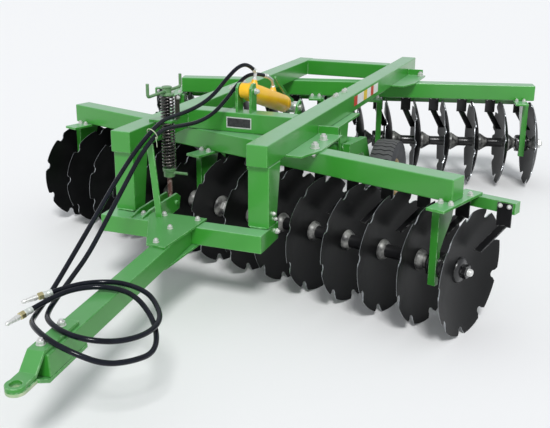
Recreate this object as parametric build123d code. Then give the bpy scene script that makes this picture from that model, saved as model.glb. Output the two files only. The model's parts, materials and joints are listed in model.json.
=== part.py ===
from build123d import *
from math import asin, atan2, cos, degrees, hypot, radians, sin, tan
import os

# Trailed offset disc harrow with a hydraulic transport wheel frame.
# Millimetres. +X is the machine's right-hand side as seen from its hitch, -Y is towards the
# tractor, +Z is up. Everything is first placed with x = 0 midway between the two main beams,
# y = 0 at their front ends and z = 0 on the ground under the discs, and is moved at the very
# end so that the origin is under the middle of the whole machine.

# ---- discs and gangs ----
disc_radius = 330.0
disc_plate = 6.0
disc_dish = 63.0
disc_flat = 76.0
disc_knee = 205.0
disc_knee_depth = 0.36
disc_spacing = 230.0
discs_per_half = 7
notch_count = 9
notch_mouth = 86.0
notch_throat = 54.0
notch_floor = 30.0
notch_depth = 40.0
notch_start = 18.5
axle_square = 40.0
axle_fit = 0.3
journal_radius = 32.0
running_fit = 0.05
spool_radius = 36.0
spool_flange = 58.0
spool_flange_thick = 14.0
spool_sides = 8
bell_length = 78.0
bell_radius = 70.0
bell_lip = 14.0
end_washer_radius = 56.0
end_washer_thick = 16.0
end_nut_flats = 62.0
end_nut_thick = 34.0
end_thread_radius = 18.0
end_thread_length = 70.0
bearing_radius = 62.0
bearing_length = 92.0
bearing_side_gap = 9.0
axle_lead = 30.0

# ---- frame tubes ----
tube = 120.0
axle_to_gang_beam = 350.0
beam_centres = 800.0
right_beam_length = 3440.0
left_beam_length = 3050.0
beam_cap_thick = 6.0
front_cross_y = 692.0
rear_cross_y = 2910.0
clamp_thick = 12.0
clamp_front = 260.0
clamp_back = 310.0
clamp_nose = 90.0
clamp_wide = 145.0
clamp_slant = 170.0
clamp_inset = 20.0

front_gang_y = 667.0
front_gang_turn = -17.6
front_beam_left = 1442.0
front_beam_right = 1464.0
rear_gang_y = 2745.0
rear_gang_turn = 15.3
rear_beam_left = 1302.0
rear_beam_right = 1540.0

# first disc of each half gang, measured along the gang from the machine's middle line
front_left_first = -1497.0
front_right_first = 132.0
rear_left_first = -1410.0
rear_right_first = 210.0

# ---- hangers ----
hanger_thick = 44.0
hanger_plate = 16.0
hanger_plate_wide = 100.0
hanger_plate_front = 200.0
hanger_plate_back = 219.0
hanger_plate_shift = 45.0
hanger_face = 100.0
hanger_top_depth = 160.0
hanger_leg_depth = 34.0
hanger_foot_drop = 95.0

# ---- scrapers ----
scraper_tube = 60.0
scraper_front = 184.0
scraper_gap = 0.3
scraper_last = 178.0
scraper_plate = 6.0
scraper_wide = 80.0
scraper_side = 85.0
scraper_drop = 124.0

# ---- posts and draft frame ----
post_set_back = 25.0
post_top_depth = 170.0
post_foot_depth = 112.0
draft_tube = 100.0
draft_front_y = -74.0
draft_left = -503.0
draft_right = 457.0
draft_arm_length = 250.0
draft_height = 365.0
draft_dip = 1.5
hitch_plate_thick = 12.0
tongue_turn = 4.5
tongue_x = 7.0
tongue_length = 1436.0
tongue_tube = 100.0
eye_plate = 18.0
eye_reach = 152.0
eye_half_width = 42.0
eye_hole = 24.0
eye_drop = 62.0
eye_seam = 0.3
cut_reach = 300.0
upper_plate_half = 38.0
bend_start = 6.0
bend_length = 68.0
upper_plate_back = 260.0
lower_plate_back = 290.0
lever_x = (-310.0, -245.0)
lever_plate = 12.0
lever_end_y = 375.0
lever_pin_y = 320.0
lever_pin_height = 440.0
stand_x = -154.0
stand_y = -31.0
stand_height = 410.0
stand_lean = -36.0

# ---- screw leveller ----
screw_x = -278.0
screw_y = 320.0
screw_radius = 15.0
screw_top = 1095.0
spring_radius = 36.0
spring_wire = 9.0
upper_spring_turns = 7
lower_spring_turns = 14
screw_nut_low = 596.0
screw_nut_high = 648.0
screw_hub_low = 1070.0
screw_hub_high = 1122.0
screw_bracket = 14.0
crank_length = 225.0
crank_back = 172.0
crank_grip = 76.0
crank_half = 9.0
grip_inset = 9.0
nut_lever_height = 622.0
nut_lever_length = 115.0

# ---- transport wheel frame ----
hinge_y = 1190.0
hinge_height = 635.0
hinge_pipe = 38.0
hinge_plate = 16.0
hinge_eye = 62.0
hinge_outer = 508.0
hinge_base_front = 1030.0
hinge_base_back = 1540.0
lift_angle = 33.0
arm_x = 541.0
arm_wide = 45.0
arm_deep = 90.0
wheel_y = 1700.0
wheel_height = 302.0
wheel_x = 670.0
tyre_radius = 292.0
tyre_width = 175.0
rim_radius = 160.0
stub_radius = 25.0
rim_wall = 24.0
rim_web = 8.0
hub_radius = 58.0
hub_end = 66.0
hub_taper = 8.0
hub_sides = 10
cross_y = 1500.0
cross_height = 600.0
cross_pipe = 42.0

# ---- lift cylinder ----
ram_x = 25.0
ram_base_y = 750.0
ram_base_rise = 127.0
ram_pin_y = 1560.0
ram_pin_height = 800.0
barrel_radius = 58.0
barrel_start = 66.0
barrel_length = 650.0
rod_radius = 27.0
pin_radius = 20.0
lug_thick = 14.0
lug_gap = 74.0
lug_clear = 1.0
base_eye_radius = 45.0
rod_eye_radius = 40.0
strap_foot = (-20.0, 39.0)
strap_knee_past = 62.0
strap_knee_rise = 56.0
strap_tip = (-396.0, 140.0)
strap_thick = 14.0
strap_half = 11.0
strap_seat = 0.2
base_port_along = 104.0
rod_port_along = 430.0
port_rise = 41.0
rod_knuckle = (27.0, 1162.0, 1046.0)
fitting_radius = 13.0
collar_length = 14.0

# ---- hoses ----
hose_radius = 10.5
hose_sides = 8
hose_1_route = [
    (25, 868, 1152), (15, 800, 1200), (-12, 712, 1196), (-48, 620, 1130), (-88, 540, 1052), (-128, 430, 1003),
    (-168, 280, 980), (-190, 110, 982), (-185, -48, 942), (-212, -170, 862), (-215, -360, 755), (-201, -562, 648),
    (-178, -760, 560), (-170, -925, 470), (-142, -1080, 422), (-95, -1235, 415), (-10, -1365, 455),
    (150, -1470, 464), (262, -1472, 432), (360, -1425, 382), (427, -1330, 360), (463, -1200, 345),
    (382, -1050, 386), (235, -948, 448), (100, -926, 459), (-12, -982, 464), (-72, -1098, 466), (-106, -1228, 446),
]
hose_2_route = [
    (25, 1048, 1091), (6, 960, 1117), (-22, 850, 1118), (-46, 752, 1066), (-64, 645, 1001), (-88, 520, 940),
    (-120, 380, 915), (-150, 220, 925), (-162, 85, 942), (-161, -46, 925), (-175, -180, 846), (-165, -370, 732),
    (-145, -570, 626), (-131, -760, 518), (-122, -920, 462), (-100, -1060, 430), (-55, -1190, 428), (35, -1320, 460),
    (170, -1395, 463), (283, -1385, 448), (365, -1310, 424), (418, -1190, 411), (408, -1050, 410), (322, -940, 426),
    (245, -892, 451), (105, -866, 460), (0, -908, 461), (-62, -1000, 470), (-116, -1070, 458),
]
# along a coupling from the hose: (length, radius) of its ferrule, nut, body and tip
coupling_steps = ((40, 15), (24, 17), (34, 13), (40, 10))
coupling_sides = (10, 6, 6, 10)

gang_beam_low = disc_radius + axle_to_gang_beam
main_low = gang_beam_low + tube
main_top = main_low + tube
half_gauge = beam_centres / 2
ram_base_height = main_top + ram_base_rise

parts = {}
loose_cords = ("hose_1", "hose_2", "coupling_1", "coupling_2")


def keep(name, shape):
    parts[name] = shape


def box(x0, x1, y0, y1, z0, z1):
    return Pos((x0 + x1) / 2, (y0 + y1) / 2, (z0 + z1) / 2) * Box(x1 - x0, y1 - y0, z1 - z0)


def rod_x(x0, x1, y, z, radius):
    return Pos((x0 + x1) / 2, y, z) * Rot(0, 90, 0) * Cylinder(radius, x1 - x0)


def rod_y(y0, y1, x, z, radius):
    return Pos(x, (y0 + y1) / 2, z) * Rot(90, 0, 0) * Cylinder(radius, y1 - y0)


def rod_z(x, y, z0, z1, radius):
    return Pos(x, y, (z0 + z1) / 2) * Cylinder(radius, z1 - z0)


def side_plate(points, x0, x1):
    """A plate standing across X, from its outline in Y and Z."""
    face = make_face(Polyline(*points, close=True))
    return Pos(x0, 0, 0) * extrude(Plane.YZ * face, x1 - x0)


def flat_plate(points, z0, z1):
    face = make_face(Polyline(*points, close=True))
    return Pos(0, 0, z0) * extrude(face, z1 - z0)


def turned(points):
    """A body of revolution about X, from its outline in X and radius."""
    return revolve(make_face(Polyline(*points, close=True)), Axis.X)


def gang_place(y, turn):
    return Pos(0, y, 0) * Rot(0, 0, turn)


front_gang = gang_place(front_gang_y, front_gang_turn)
rear_gang = gang_place(rear_gang_y, rear_gang_turn)


def ring_of_points(x, apothem, sides):
    """Corners of a regular outline about X whose flats lie apothem out."""
    reach = apothem / cos(radians(180.0 / sides))
    turns = [radians(360.0 * index / sides) for index in range(sides)]
    return [Vector(x, reach * sin(turn), reach * cos(turn)) for turn in turns]


def flat_face(points):
    return Face(Wire.make_polygon(points, close=True))


def many_sided(x0, x1, apothem0, apothem1, sides):
    """A straight or tapering block about X with a regular outline and flat faces."""
    near = ring_of_points(x0, apothem0, sides)
    far = ring_of_points(x1, apothem1, sides)
    faces = [flat_face(near), flat_face(far)]
    for index in range(sides):
        after = (index + 1) % sides
        faces.append(flat_face([near[index], near[after], far[after], far[index]]))
    return Solid(Shell(faces))


def laid_along(start, run):
    """Lays a block that was drawn about X from start along run."""
    return Plane(origin=start, z_dir=run).location * Rot(0, -90, 0)


def link(start, finish, radius, sides):
    """A straight faceted piece from one point to another."""
    run = Vector(finish) - Vector(start)
    return laid_along(start, run) * many_sided(0, run.length, radius, radius, sides)


# ---------------------------------------------------------------- discs
def dish(reach):
    """The hollow side of a disc as a block: a flat middle, then two rings of flats, each steeper."""
    sector = 360.0 / notch_count / 2
    along = cos(radians(sector))
    knee_x = disc_knee_depth * disc_dish
    slope = (disc_dish - knee_x) / (disc_radius - disc_knee)
    inner = many_sided(0, knee_x, disc_flat * along, disc_knee * along, notch_count)
    outer = many_sided(knee_x, knee_x + reach * slope, disc_knee * along, (disc_knee + reach) * along, notch_count)
    return inner + outer


def disc():
    """One notched disc about X, its flat middle from x = 0 and its rim at x = disc_dish."""
    reach = disc_radius - disc_knee + 60
    step = 360.0 / notch_count
    outline = []
    for index in range(notch_count):
        middle = (index + 0.5) * step
        half_mouth = degrees(asin(notch_mouth / 2 / disc_radius))
        edge = [(-half_mouth, disc_radius)]
        for wide, deep in ((notch_throat, 0.45 * notch_depth), (notch_floor, notch_depth)):
            edge.append((-degrees(atan2(wide / 2, disc_radius - deep)), disc_radius - deep))
        edge += [(-turn, radius) for turn, radius in reversed(edge)]
        edge.append((step / 2, disc_radius))
        for turn, radius in edge:
            angle = radians(middle + turn)
            outline.append((radius * sin(angle), radius * cos(angle)))
    blank = side_plate(outline, 0, 2 * disc_dish)
    body = dish(reach) & blank
    body -= Pos(disc_plate, 0, 0) * dish(reach)
    half = axle_square / 2 + axle_fit
    return body - box(-1, disc_plate + 1, -half, half, -half, half)


def turned_flats(x, sections):
    """Blocks one after the other along X from x, each (length, flats at its start, flats at its end)."""
    body = None
    for length, start, finish in sections:
        block = many_sided(x, x + length, start, finish, spool_sides)
        body = block if body is None else body + block
        x += length
    return body


def spool(start):
    """Spool between two discs: a flange, a neck and a bell, from the disc at start to the next."""
    neck = disc_spacing - disc_plate - spool_flange_thick - bell_length
    return turned_flats(start + disc_plate, [
        (spool_flange_thick, spool_flange, spool_flange), (neck, spool_radius, spool_radius),
        (bell_length - bell_lip, spool_radius, bell_radius), (bell_lip, bell_radius, bell_radius)])


def bearing_spool(start):
    """The same place with a round journal for the bearing between two flanges."""
    middle = start + (disc_plate + disc_spacing) / 2
    journal = bearing_length / 2 + bearing_side_gap
    side = (disc_spacing - disc_plate) / 2 - journal
    body = turned_flats(start + disc_plate, [(side, spool_flange, journal_radius + 6)])
    body += rod_x(middle - journal, middle + journal, 0, 0, journal_radius)
    return body + turned_flats(middle + journal, [(side, journal_radius + 6, bell_radius)])


def gang_core(bearing_gaps):
    """Square axle, spools and end nuts of a half gang, its first disc at x = 0."""
    last = disc_spacing * (discs_per_half - 1)
    end = last + disc_plate
    half = axle_square / 2
    core = box(-end_washer_thick, end + end_washer_thick, -half, half, -half, half)
    for gap in range(discs_per_half - 1):
        start = gap * disc_spacing
        core += bearing_spool(start) if gap in bearing_gaps else spool(start)
    core += many_sided(-end_washer_thick - end_nut_thick, -end_washer_thick, end_nut_flats / 2, end_nut_flats / 2, 6)
    core += turned_flats(-end_washer_thick, [(end_washer_thick, end_washer_radius, bell_radius)])
    core += turned_flats(end, [(end_washer_thick, end_washer_radius, end_washer_radius)])
    nut = end + end_washer_thick
    core += many_sided(nut, nut + end_nut_thick, end_nut_flats / 2, end_nut_flats / 2, 6)
    return core + many_sided(nut, end + end_thread_length, end_thread_radius, end_thread_radius, 8)


one_disc = disc()
one_core = gang_core((0, discs_per_half - 2))
# the discs sit on a square axle, so each may be a quarter turn on from the last
quarter_turns = (0, 3, 1, 2, 0, 1, 3)


def disc_row(start):
    row = []
    for k in range(discs_per_half):
        turn = -start - 90.0 * quarter_turns[k % len(quarter_turns)]
        row.append(Pos(k * disc_spacing, 0, 0) * Rot(turn, 0, 0) * one_disc)
    return Compound(row)


def half_gang(place, first, faces_right, start):
    """Discs and core of a half gang that starts at first and dishes to one side."""
    spot = place * Pos(first, -axle_lead, disc_radius)
    if not faces_right:
        last = disc_spacing * (discs_per_half - 1)
        spot = spot * Pos(last, 0, 0) * Rot(0, 0, 180)
    return spot * disc_row(start), spot * Rot(-start, 0, 0) * one_core


half_gangs = [
    ("front_left", front_gang, front_left_first, True, notch_start + 7),
    ("front_right", front_gang, front_right_first, True, notch_start),
    ("rear_left", rear_gang, rear_left_first, False, notch_start + 13),
    ("rear_right", rear_gang, rear_right_first, False, notch_start + 4),
]
for name, place, first, faces_right, start in half_gangs:
    discs, core = half_gang(place, first, faces_right, start)
    keep("discs_" + name, discs)
    keep("axle_" + name, core)


def hanger_places(first, faces_right):
    """Middles of the two bearing gaps of a half gang, along the gang."""
    gaps = (0, discs_per_half - 2)
    shift = disc_plate / 2 if faces_right else -disc_plate / 2
    return [first + (gap + 0.5) * disc_spacing + shift for gap in gaps]


def hanger(a, side):
    """One standard: a long top plate under the gang beam, and a web that tapers to a leg."""
    top = gang_beam_low
    low = top - hanger_plate
    middle = a + side * hanger_plate_shift
    plate = box(middle - hanger_plate_wide / 2, middle + hanger_plate_wide / 2,
                -hanger_plate_front, hanger_plate_back, low, top)
    face = -hanger_face
    leg_back = face + hanger_leg_depth
    outline = [(face, disc_radius - hanger_foot_drop), (face, low), (face + hanger_top_depth, low),
               (face + 0.86 * hanger_top_depth, low - 95), (leg_back + 30, low - 190),
               (leg_back, low - 240), (leg_back, disc_radius - hanger_foot_drop)]
    web = side_plate(outline, a - hanger_thick / 2, a + hanger_thick / 2)
    housing = Pos(0, -axle_lead, disc_radius) * many_sided(a - bearing_length / 2, a + bearing_length / 2,
                                                           bearing_radius, bearing_radius, 8)
    bore = rod_x(a - bearing_length, a + bearing_length, -axle_lead, disc_radius,
                 journal_radius + running_fit)
    return plate + web + housing - bore


def hangers(place, rows):
    solids = []
    for first, faces_right in rows:
        side = 1 if faces_right else -1
        solids += [place * hanger(a, side) for a in hanger_places(first, faces_right)]
    return Compound(solids)


keep("hangers_front", hangers(front_gang, [(front_left_first, True), (front_right_first, True)]))
keep("hangers_rear", hangers(rear_gang, [(rear_left_first, False), (rear_right_first, False)]))

# ---------------------------------------------------------------- scrapers
def scraper(first, faces_right):
    """Bracket and blade of one disc whose flat middle starts at first."""
    side = 1 if faces_right else -1
    high = gang_beam_low - hanger_plate - 6
    low = high - scraper_drop
    x0, x1 = sorted((first + side * scraper_side, first + side * (scraper_side + scraper_wide)))
    bracket = box(x0, x1, scraper_front - scraper_plate, scraper_front, low, high)
    middle = (x0 + x1) / 2
    start = Vector(middle, scraper_front - scraper_plate / 2, low + 4)
    finish = Vector(first + side * 62, 40, disc_radius + 95)
    along = (finish - start).normalized()
    across = Vector(side * 0.75, -0.55, 0)
    across = (across - along * along.dot(across)).normalized()
    blade_plane = Plane(origin=(start + finish) * 0.5, x_dir=along, z_dir=along.cross(across))
    blade = blade_plane * Box((finish - start).length, 56, scraper_plate)
    return bracket + blade


def scrapers(place, rows, left, right):
    """The bar and, a hair in front of it, one bracket with its blade for each disc."""
    high = gang_beam_low - hanger_plate
    solids = [box(left, right, scraper_front + scraper_gap, scraper_front + scraper_tube, high - scraper_tube, high)]
    for first, faces_right in rows:
        solids += [scraper(first + k * disc_spacing, faces_right) for k in range(discs_per_half)]
    return place * Compound(solids)


front_rows = [(front_left_first, True), (front_right_first, True)]
rear_last = disc_spacing * (discs_per_half - 1)
rear_rows = [(rear_left_first, False), (rear_right_first, False)]
front_last_disc = front_right_first + rear_last
rear_last_disc = rear_right_first + rear_last
keep("scrapers_front", scrapers(front_gang, front_rows, front_left_first + scraper_side - 15,
                                front_last_disc + scraper_last))
keep("scrapers_rear", scrapers(rear_gang, rear_rows, rear_left_first - scraper_last,
                               rear_last_disc - scraper_side + 15))

# ---------------------------------------------------------------- frame
for name, side, length in (("beam_left", -1, left_beam_length), ("beam_right", 1, right_beam_length)):
    middle = side * half_gauge
    keep(name, box(middle - tube / 2, middle + tube / 2, 0, length, main_low, main_top))

inner = half_gauge - tube / 2
keep("cross_front", box(-inner, inner, front_cross_y, front_cross_y + tube, main_low, main_top))
keep("cross_rear", box(-inner, inner, rear_cross_y, rear_cross_y + tube, main_low, main_top))


def gang_beam(place, left, right):
    bar = box(-left, right, -tube / 2, tube / 2, gang_beam_low, gang_beam_low + tube)
    return place * bar


def clamp(side, gang_y, gang_turn):
    """Plate beside a main beam that the gang beam is bolted up to, with its end gusset."""
    edge = side * (half_gauge + tube / 2)
    cross = gang_y + tan(radians(gang_turn)) * edge
    front, back = cross - clamp_front, cross + clamp_back
    points = [(edge, front), (edge + side * clamp_nose, front), (edge + side * clamp_wide, front + clamp_slant),
              (edge + side * clamp_wide, back), (edge, back)]
    plate = flat_plate(points, main_low, main_low + clamp_thick)
    x0, x1 = sorted((edge, edge + side * (clamp_wide - clamp_inset)))
    gusset = box(x0, x1, back - clamp_inset, back - clamp_inset + clamp_thick,
                 main_low + clamp_thick, main_low + tube / 2)
    return plate + gusset


clamps = [clamp(side, y, turn) for side in (-1, 1)
          for y, turn in ((front_gang_y, front_gang_turn), (rear_gang_y, rear_gang_turn))]
keep("clamp_plates", Compound(clamps))
keep("gang_beam_front", gang_beam(front_gang, front_beam_left, front_beam_right))
keep("gang_beam_rear", gang_beam(rear_gang, rear_beam_left, rear_beam_right))

# ---------------------------------------------------------------- posts and draft frame
draft_top = draft_height + draft_tube


def post(side):
    middle = side * half_gauge
    y = post_set_back
    outline = [(y, draft_top), (y, main_low), (y + post_top_depth, main_low),
               (y + post_foot_depth, draft_top)]
    return side_plate(outline, middle - tube / 2, middle + tube / 2)


keep("posts", Compound([post(-1), post(1)]))

draft_back = draft_front_y + draft_tube
pivot_y = draft_front_y + draft_arm_length
pivot_z = draft_height + draft_tube / 2
draft_place = Pos(0, pivot_y, pivot_z) * Rot(draft_dip, 0, 0) * Pos(0, -pivot_y, -pivot_z)
bar = box(draft_left, draft_right, draft_front_y, draft_back, draft_height, draft_top)
for x in (draft_left, draft_right - draft_tube):
    bar += box(x, x + draft_tube, draft_back, draft_front_y + draft_arm_length, draft_height, draft_top)
keep("draft_bar", draft_place * bar)

plate_outline = [(-34, -396), (77, -412), (92, 45), (-230, 45), (-230, -20)]
top_plate = flat_plate(plate_outline, draft_top, draft_top + hitch_plate_thick)
low_plate = flat_plate(plate_outline, draft_height - hitch_plate_thick, draft_height)
keep("hitch_plates", draft_place * Compound([top_plate, low_plate]))

# along the tongue: s runs forwards from the draft bar's front face
tongue_place = draft_place * Pos(tongue_x, draft_front_y, 0) * Rot(0, 0, tongue_turn)
tongue = box(-tongue_tube / 2, tongue_tube / 2, -tongue_length, -0.3 - tongue_tube / 2 * tan(radians(tongue_turn)),
             draft_height, draft_top)
keep("tongue", tongue_place * tongue)


def eye_plate_shape(level, drop, back, half_width):
    """Bent hitch plate: flat on the tongue, sloping to the eye, rounded at its end."""
    start = -tongue_length - bend_start
    stop = start - bend_length
    tip = -tongue_length - eye_reach
    outline = [(-tongue_length + back, level), (start, level), (stop, level + drop), (tip, level + drop),
               (tip, level + drop + eye_plate), (stop, level + drop + eye_plate),
               (start, level + eye_plate), (-tongue_length + back, level + eye_plate)]
    strip = side_plate(outline, -half_width, half_width)
    eye = rod_z(0, tip, level + drop, level + drop + eye_plate, eye_half_width)
    neck = box(-half_width - 1, half_width + 1, tip - eye_half_width, stop, level - cut_reach, level + cut_reach)
    keep_neck = box(-eye_half_width, eye_half_width, tip, stop, level - cut_reach, level + cut_reach)
    strip -= neck - keep_neck
    return strip + eye - rod_z(0, tip, level - cut_reach, level + cut_reach, eye_hole)


eye_level = draft_top + eye_plate - eye_drop
upper = eye_plate_shape(draft_top, -eye_drop, upper_plate_back, upper_plate_half)
lower_drop = eye_level - eye_plate - eye_seam - draft_height
lower = eye_plate_shape(draft_height - eye_plate, lower_drop, lower_plate_back, tongue_tube / 2)
keep("hitch_eye", tongue_place * Compound([upper, lower]))

# lever plates behind the draft bar that the screw is pinned between
levers = []
for x in lever_x:
    outline = [(draft_front_y + 4, draft_top), (draft_front_y + 4, draft_top + 12), (draft_back, draft_top + 26),
               (lever_end_y - 40, draft_top + 26), (lever_end_y, draft_top - 5), (lever_end_y - 20, draft_height + 28),
               (draft_back + 60, draft_height), (draft_back, draft_height), (draft_back, draft_top)]
    plate = side_plate(outline, x - lever_plate / 2, x + lever_plate / 2)
    levers.append(plate)
lever_pin = rod_x(lever_x[0] - 16, lever_x[1] + 16, lever_pin_y, lever_pin_height, 12)
keep("screw_levers", draft_place * (levers[0] + levers[1] + lever_pin))

stand_foot = draft_top + hitch_plate_thick
stand_outline = [(stand_x - 19, stand_foot), (stand_x + 19, stand_foot),
                 (stand_x + stand_lean + 19, stand_foot + stand_height),
                 (stand_x + stand_lean - 19, stand_foot + stand_height)]
stand_face = make_face(Polyline(*stand_outline, close=True))
stand = Pos(0, stand_y, 0) * extrude(Plane.XZ * stand_face, 10)
keep("hose_stand", draft_place * stand)

# ---------------------------------------------------------------- screw leveller
bracket_low = main_top
bracket_high = bracket_low + screw_bracket
bracket = box(screw_x - 96, screw_x + 46, screw_y - 46, screw_y + 46, bracket_low, bracket_high)
bracket -= rod_z(screw_x, screw_y, bracket_low - 1, bracket_high + 1, screw_radius + 3)
keep("screw_bracket", bracket)

screw = rod_z(screw_x, screw_y, lever_pin_height + 14, screw_top, screw_radius)
for low, high, radius in ((screw_nut_low, screw_nut_high, 36), (screw_hub_low, screw_hub_high, 30)):
    screw += laid_along((screw_x, screw_y, low), (0, 0, 1)) * many_sided(0, high - low, radius, radius, 8)
screw += box(screw_x - 20, screw_x + 20, lever_pin_y - 20, lever_pin_y + 20, lever_pin_height - 26,
             lever_pin_height + 22)
for start, finish in (((0, -crank_length, screw_top), (0, crank_back, screw_top)),
                      ((0, grip_inset - crank_length, screw_top), (0, grip_inset - crank_length, screw_top + crank_grip)),
                      ((0, crank_back - grip_inset, screw_top), (0, crank_back - grip_inset, screw_top + crank_grip)),
                      ((0, 0, nut_lever_height), (nut_lever_length, 0, nut_lever_height))):
    screw += Pos(screw_x, screw_y, 0) * link(start, finish, crank_half, 6)
screw -= draft_place * rod_x(screw_x - 60, screw_x + 60, lever_pin_y, lever_pin_height, 12.05)
keep("screw", screw)


def spring(low, high, turns):
    """Open coils drawn as a closed sleeve that swells at each turn."""
    pitch = (high - low) / turns
    waist = spring_radius - 0.4 * spring_wire
    swell = spring_radius + 0.5 * spring_wire
    coils = None
    for k in range(turns):
        for start, r0, r1 in ((k * pitch, waist, swell), ((k + 0.5) * pitch, swell, waist)):
            half_turn = many_sided(start, start + pitch / 2, r0, r1, 8)
            coils = half_turn if coils is None else coils + half_turn
    coils -= many_sided(-1, high - low + 1, screw_radius + 8, screw_radius + 8, 8)
    return laid_along((screw_x, screw_y, low), (0, 0, 1)) * coils


keep("springs", Compound([spring(bracket_high, screw_hub_low, upper_spring_turns),
                          spring(screw_nut_high, bracket_low, lower_spring_turns)]))


# ---------------------------------------------------------------- wheel frame
def about_hinge(y, z):
    return y - hinge_y, z - hinge_height


frame_shape = rod_x(-arm_x - arm_wide / 2, arm_x + arm_wide / 2, hinge_y, hinge_height, hinge_pipe)
frame_shape += rod_x(-arm_x, arm_x, cross_y, cross_height, cross_pipe)
for side in (-1, 1):
    outline = [(hinge_y - 50, hinge_height - arm_deep / 2), (hinge_y - 50, hinge_height + arm_deep / 2),
               (cross_y + 30, cross_height + arm_deep / 2), (wheel_y + 55, wheel_height + 10),
               (wheel_y + 30, wheel_height - 45), (wheel_y - 40, wheel_height - 30),
               (cross_y - 35, cross_height - arm_deep / 2)]
    x = side * arm_x
    frame_shape += side_plate(outline, x - arm_wide / 2, x + arm_wide / 2)
    stub_end = side * (wheel_x + tyre_width / 2)
    x0, x1 = sorted((side * (arm_x + arm_wide / 2), stub_end))
    frame_shape += rod_x(x0, x1, wheel_y, wheel_height, stub_radius)
lever_gap = lug_gap
for side in (-1, 1):
    x0, x1 = sorted((ram_x + side * lever_gap / 2, ram_x + side * (lever_gap / 2 + lug_thick)))
    outline = [(cross_y - 60, cross_height - 30), (ram_pin_y - 45, ram_pin_height + 25),
               (ram_pin_y + 20, ram_pin_height + 50), (ram_pin_y + 45, ram_pin_height - 10),
               (cross_y + 60, cross_height - 30)]
    plate = side_plate(outline, x0, x1)
    plate -= rod_x(x0 - 1, x1 + 1, ram_pin_y, ram_pin_height, pin_radius + 10)
    frame_shape += plate
keep("wheel_frame", frame_shape)


def hinge_bracket(side):
    """Base plate under a main beam with two eye plates for the hinge pipe."""
    top = main_low
    x0, x1 = sorted((side * (half_gauge - tube / 2), side * hinge_outer))
    bracket = box(x0, x1, hinge_base_front, hinge_base_back, top - hinge_plate, top)
    for x in (side * (hinge_outer - hinge_plate / 2), side * (half_gauge - tube / 2 + hinge_plate / 2)):
        outline = [(hinge_y - 90, top - hinge_plate), (hinge_y + 90, top - hinge_plate),
                   (hinge_y + hinge_eye, hinge_height), (hinge_y + 40, hinge_height - 48),
                   (hinge_y - 40, hinge_height - 48), (hinge_y - hinge_eye, hinge_height)]
        bracket += side_plate(outline, x - hinge_plate / 2, x + hinge_plate / 2)
    return bracket - rod_x(-arm_x, arm_x, hinge_y, hinge_height, hinge_pipe + running_fit)


keep("hinge_brackets", Compound([hinge_bracket(-1), hinge_bracket(1)]))


# ---------------------------------------------------------------- wheels
def tyre():
    half = tyre_width / 2
    belly = (rim_radius + tyre_radius) / 2
    return turned([(-0.62 * half, rim_radius), (-half, belly), (-0.72 * half, tyre_radius),
                   (0.72 * half, tyre_radius), (half, belly), (0.62 * half, rim_radius)])


def rim():
    """Rim with its outer side dished in to the hub."""
    half = 0.62 * tyre_width / 2
    body = turned([(-half, 0), (-half, rim_radius), (half, rim_radius), (rim_web, rim_radius - rim_wall), (rim_web, 0)])
    body += many_sided(rim_web, hub_end, hub_radius, hub_radius - hub_taper, hub_sides)
    return body - rod_x(-tyre_width, tyre_width, 0, 0, stub_radius + running_fit)


for name, side in (("left", -1), ("right", 1)):
    spot = Pos(side * wheel_x, wheel_y, wheel_height) * Rot(0, 0, 90 - 90 * side)
    keep("tyre_" + name, spot * tyre())
    keep("rim_" + name, spot * rim())

# ---------------------------------------------------------------- lift cylinder
ram_reach = hypot(ram_pin_y - ram_base_y, ram_pin_height - ram_base_height)
ram_slope = degrees(atan2(ram_pin_height - ram_base_height, ram_pin_y - ram_base_y))
ram_place = Pos(ram_x, ram_base_y, ram_base_height) * Rot(ram_slope, 0, 0)


barrel = rod_y(barrel_start, barrel_length, 0, 0, barrel_radius)
barrel += rod_y(0, barrel_start + 2, 0, 0, 30)
barrel += rod_x(-lug_gap / 2 + lug_clear, lug_gap / 2 - lug_clear, 0, 0, base_eye_radius)
barrel -= rod_y(120, barrel_length + 10, 0, 0, rod_radius + running_fit)
barrel -= rod_x(-100, 100, 0, 0, pin_radius + running_fit)
barrel = ram_place * barrel
base_port = (ram_place * Pos(0, base_port_along, port_rise)).position
rod_port = (ram_place * Pos(0, rod_port_along, port_rise)).position
for pipe, route in (([base_port], hose_1_route), ([rod_port, rod_knuckle], hose_2_route)):
    collar = Vector(*route[0]) - (Vector(*route[1]) - Vector(*route[0])).normalized() * collar_length
    for start, finish in zip(pipe + [collar], pipe[1:] + [collar, route[0]]):
        barrel += link(start, finish, fitting_radius, 6)
keep("ram_barrel", barrel)

rod = rod_y(140, ram_reach - 20, 0, 0, rod_radius)
rod += rod_x(-lug_gap / 2 + 2, lug_gap / 2 - 2, ram_reach, 0, rod_eye_radius)
rod += rod_x(-lug_gap / 2 - lug_thick - 14, lug_gap / 2 + lug_thick + 14, ram_reach, 0, pin_radius)
keep("ram_rod", ram_place * rod)

# stop strap that stands on the rod's eye and bends up past the barrel's end to reach over it
strap_line = (strap_foot, (barrel_length + strap_knee_past - ram_reach, strap_knee_rise), strap_tip)
strap_runs = []
for (y0, z0), (y1, z1) in zip(strap_line, strap_line[1:]):
    run = box(-strap_thick / 2, strap_thick / 2, 0, hypot(y1 - y0, z1 - z0), -strap_half, strap_half)
    run += rod_x(-strap_thick / 2, strap_thick / 2, hypot(y1 - y0, z1 - z0), 0, strap_half)
    strap_runs.append(Pos(0, ram_reach + y0, z0) * Rot(degrees(atan2(z1 - z0, y1 - y0)), 0, 0) * run)
strap = strap_runs[0] + strap_runs[1] - rod_x(-strap_thick, strap_thick, ram_reach, 0, rod_eye_radius + strap_seat)
keep("stop_strap", ram_place * strap)

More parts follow.
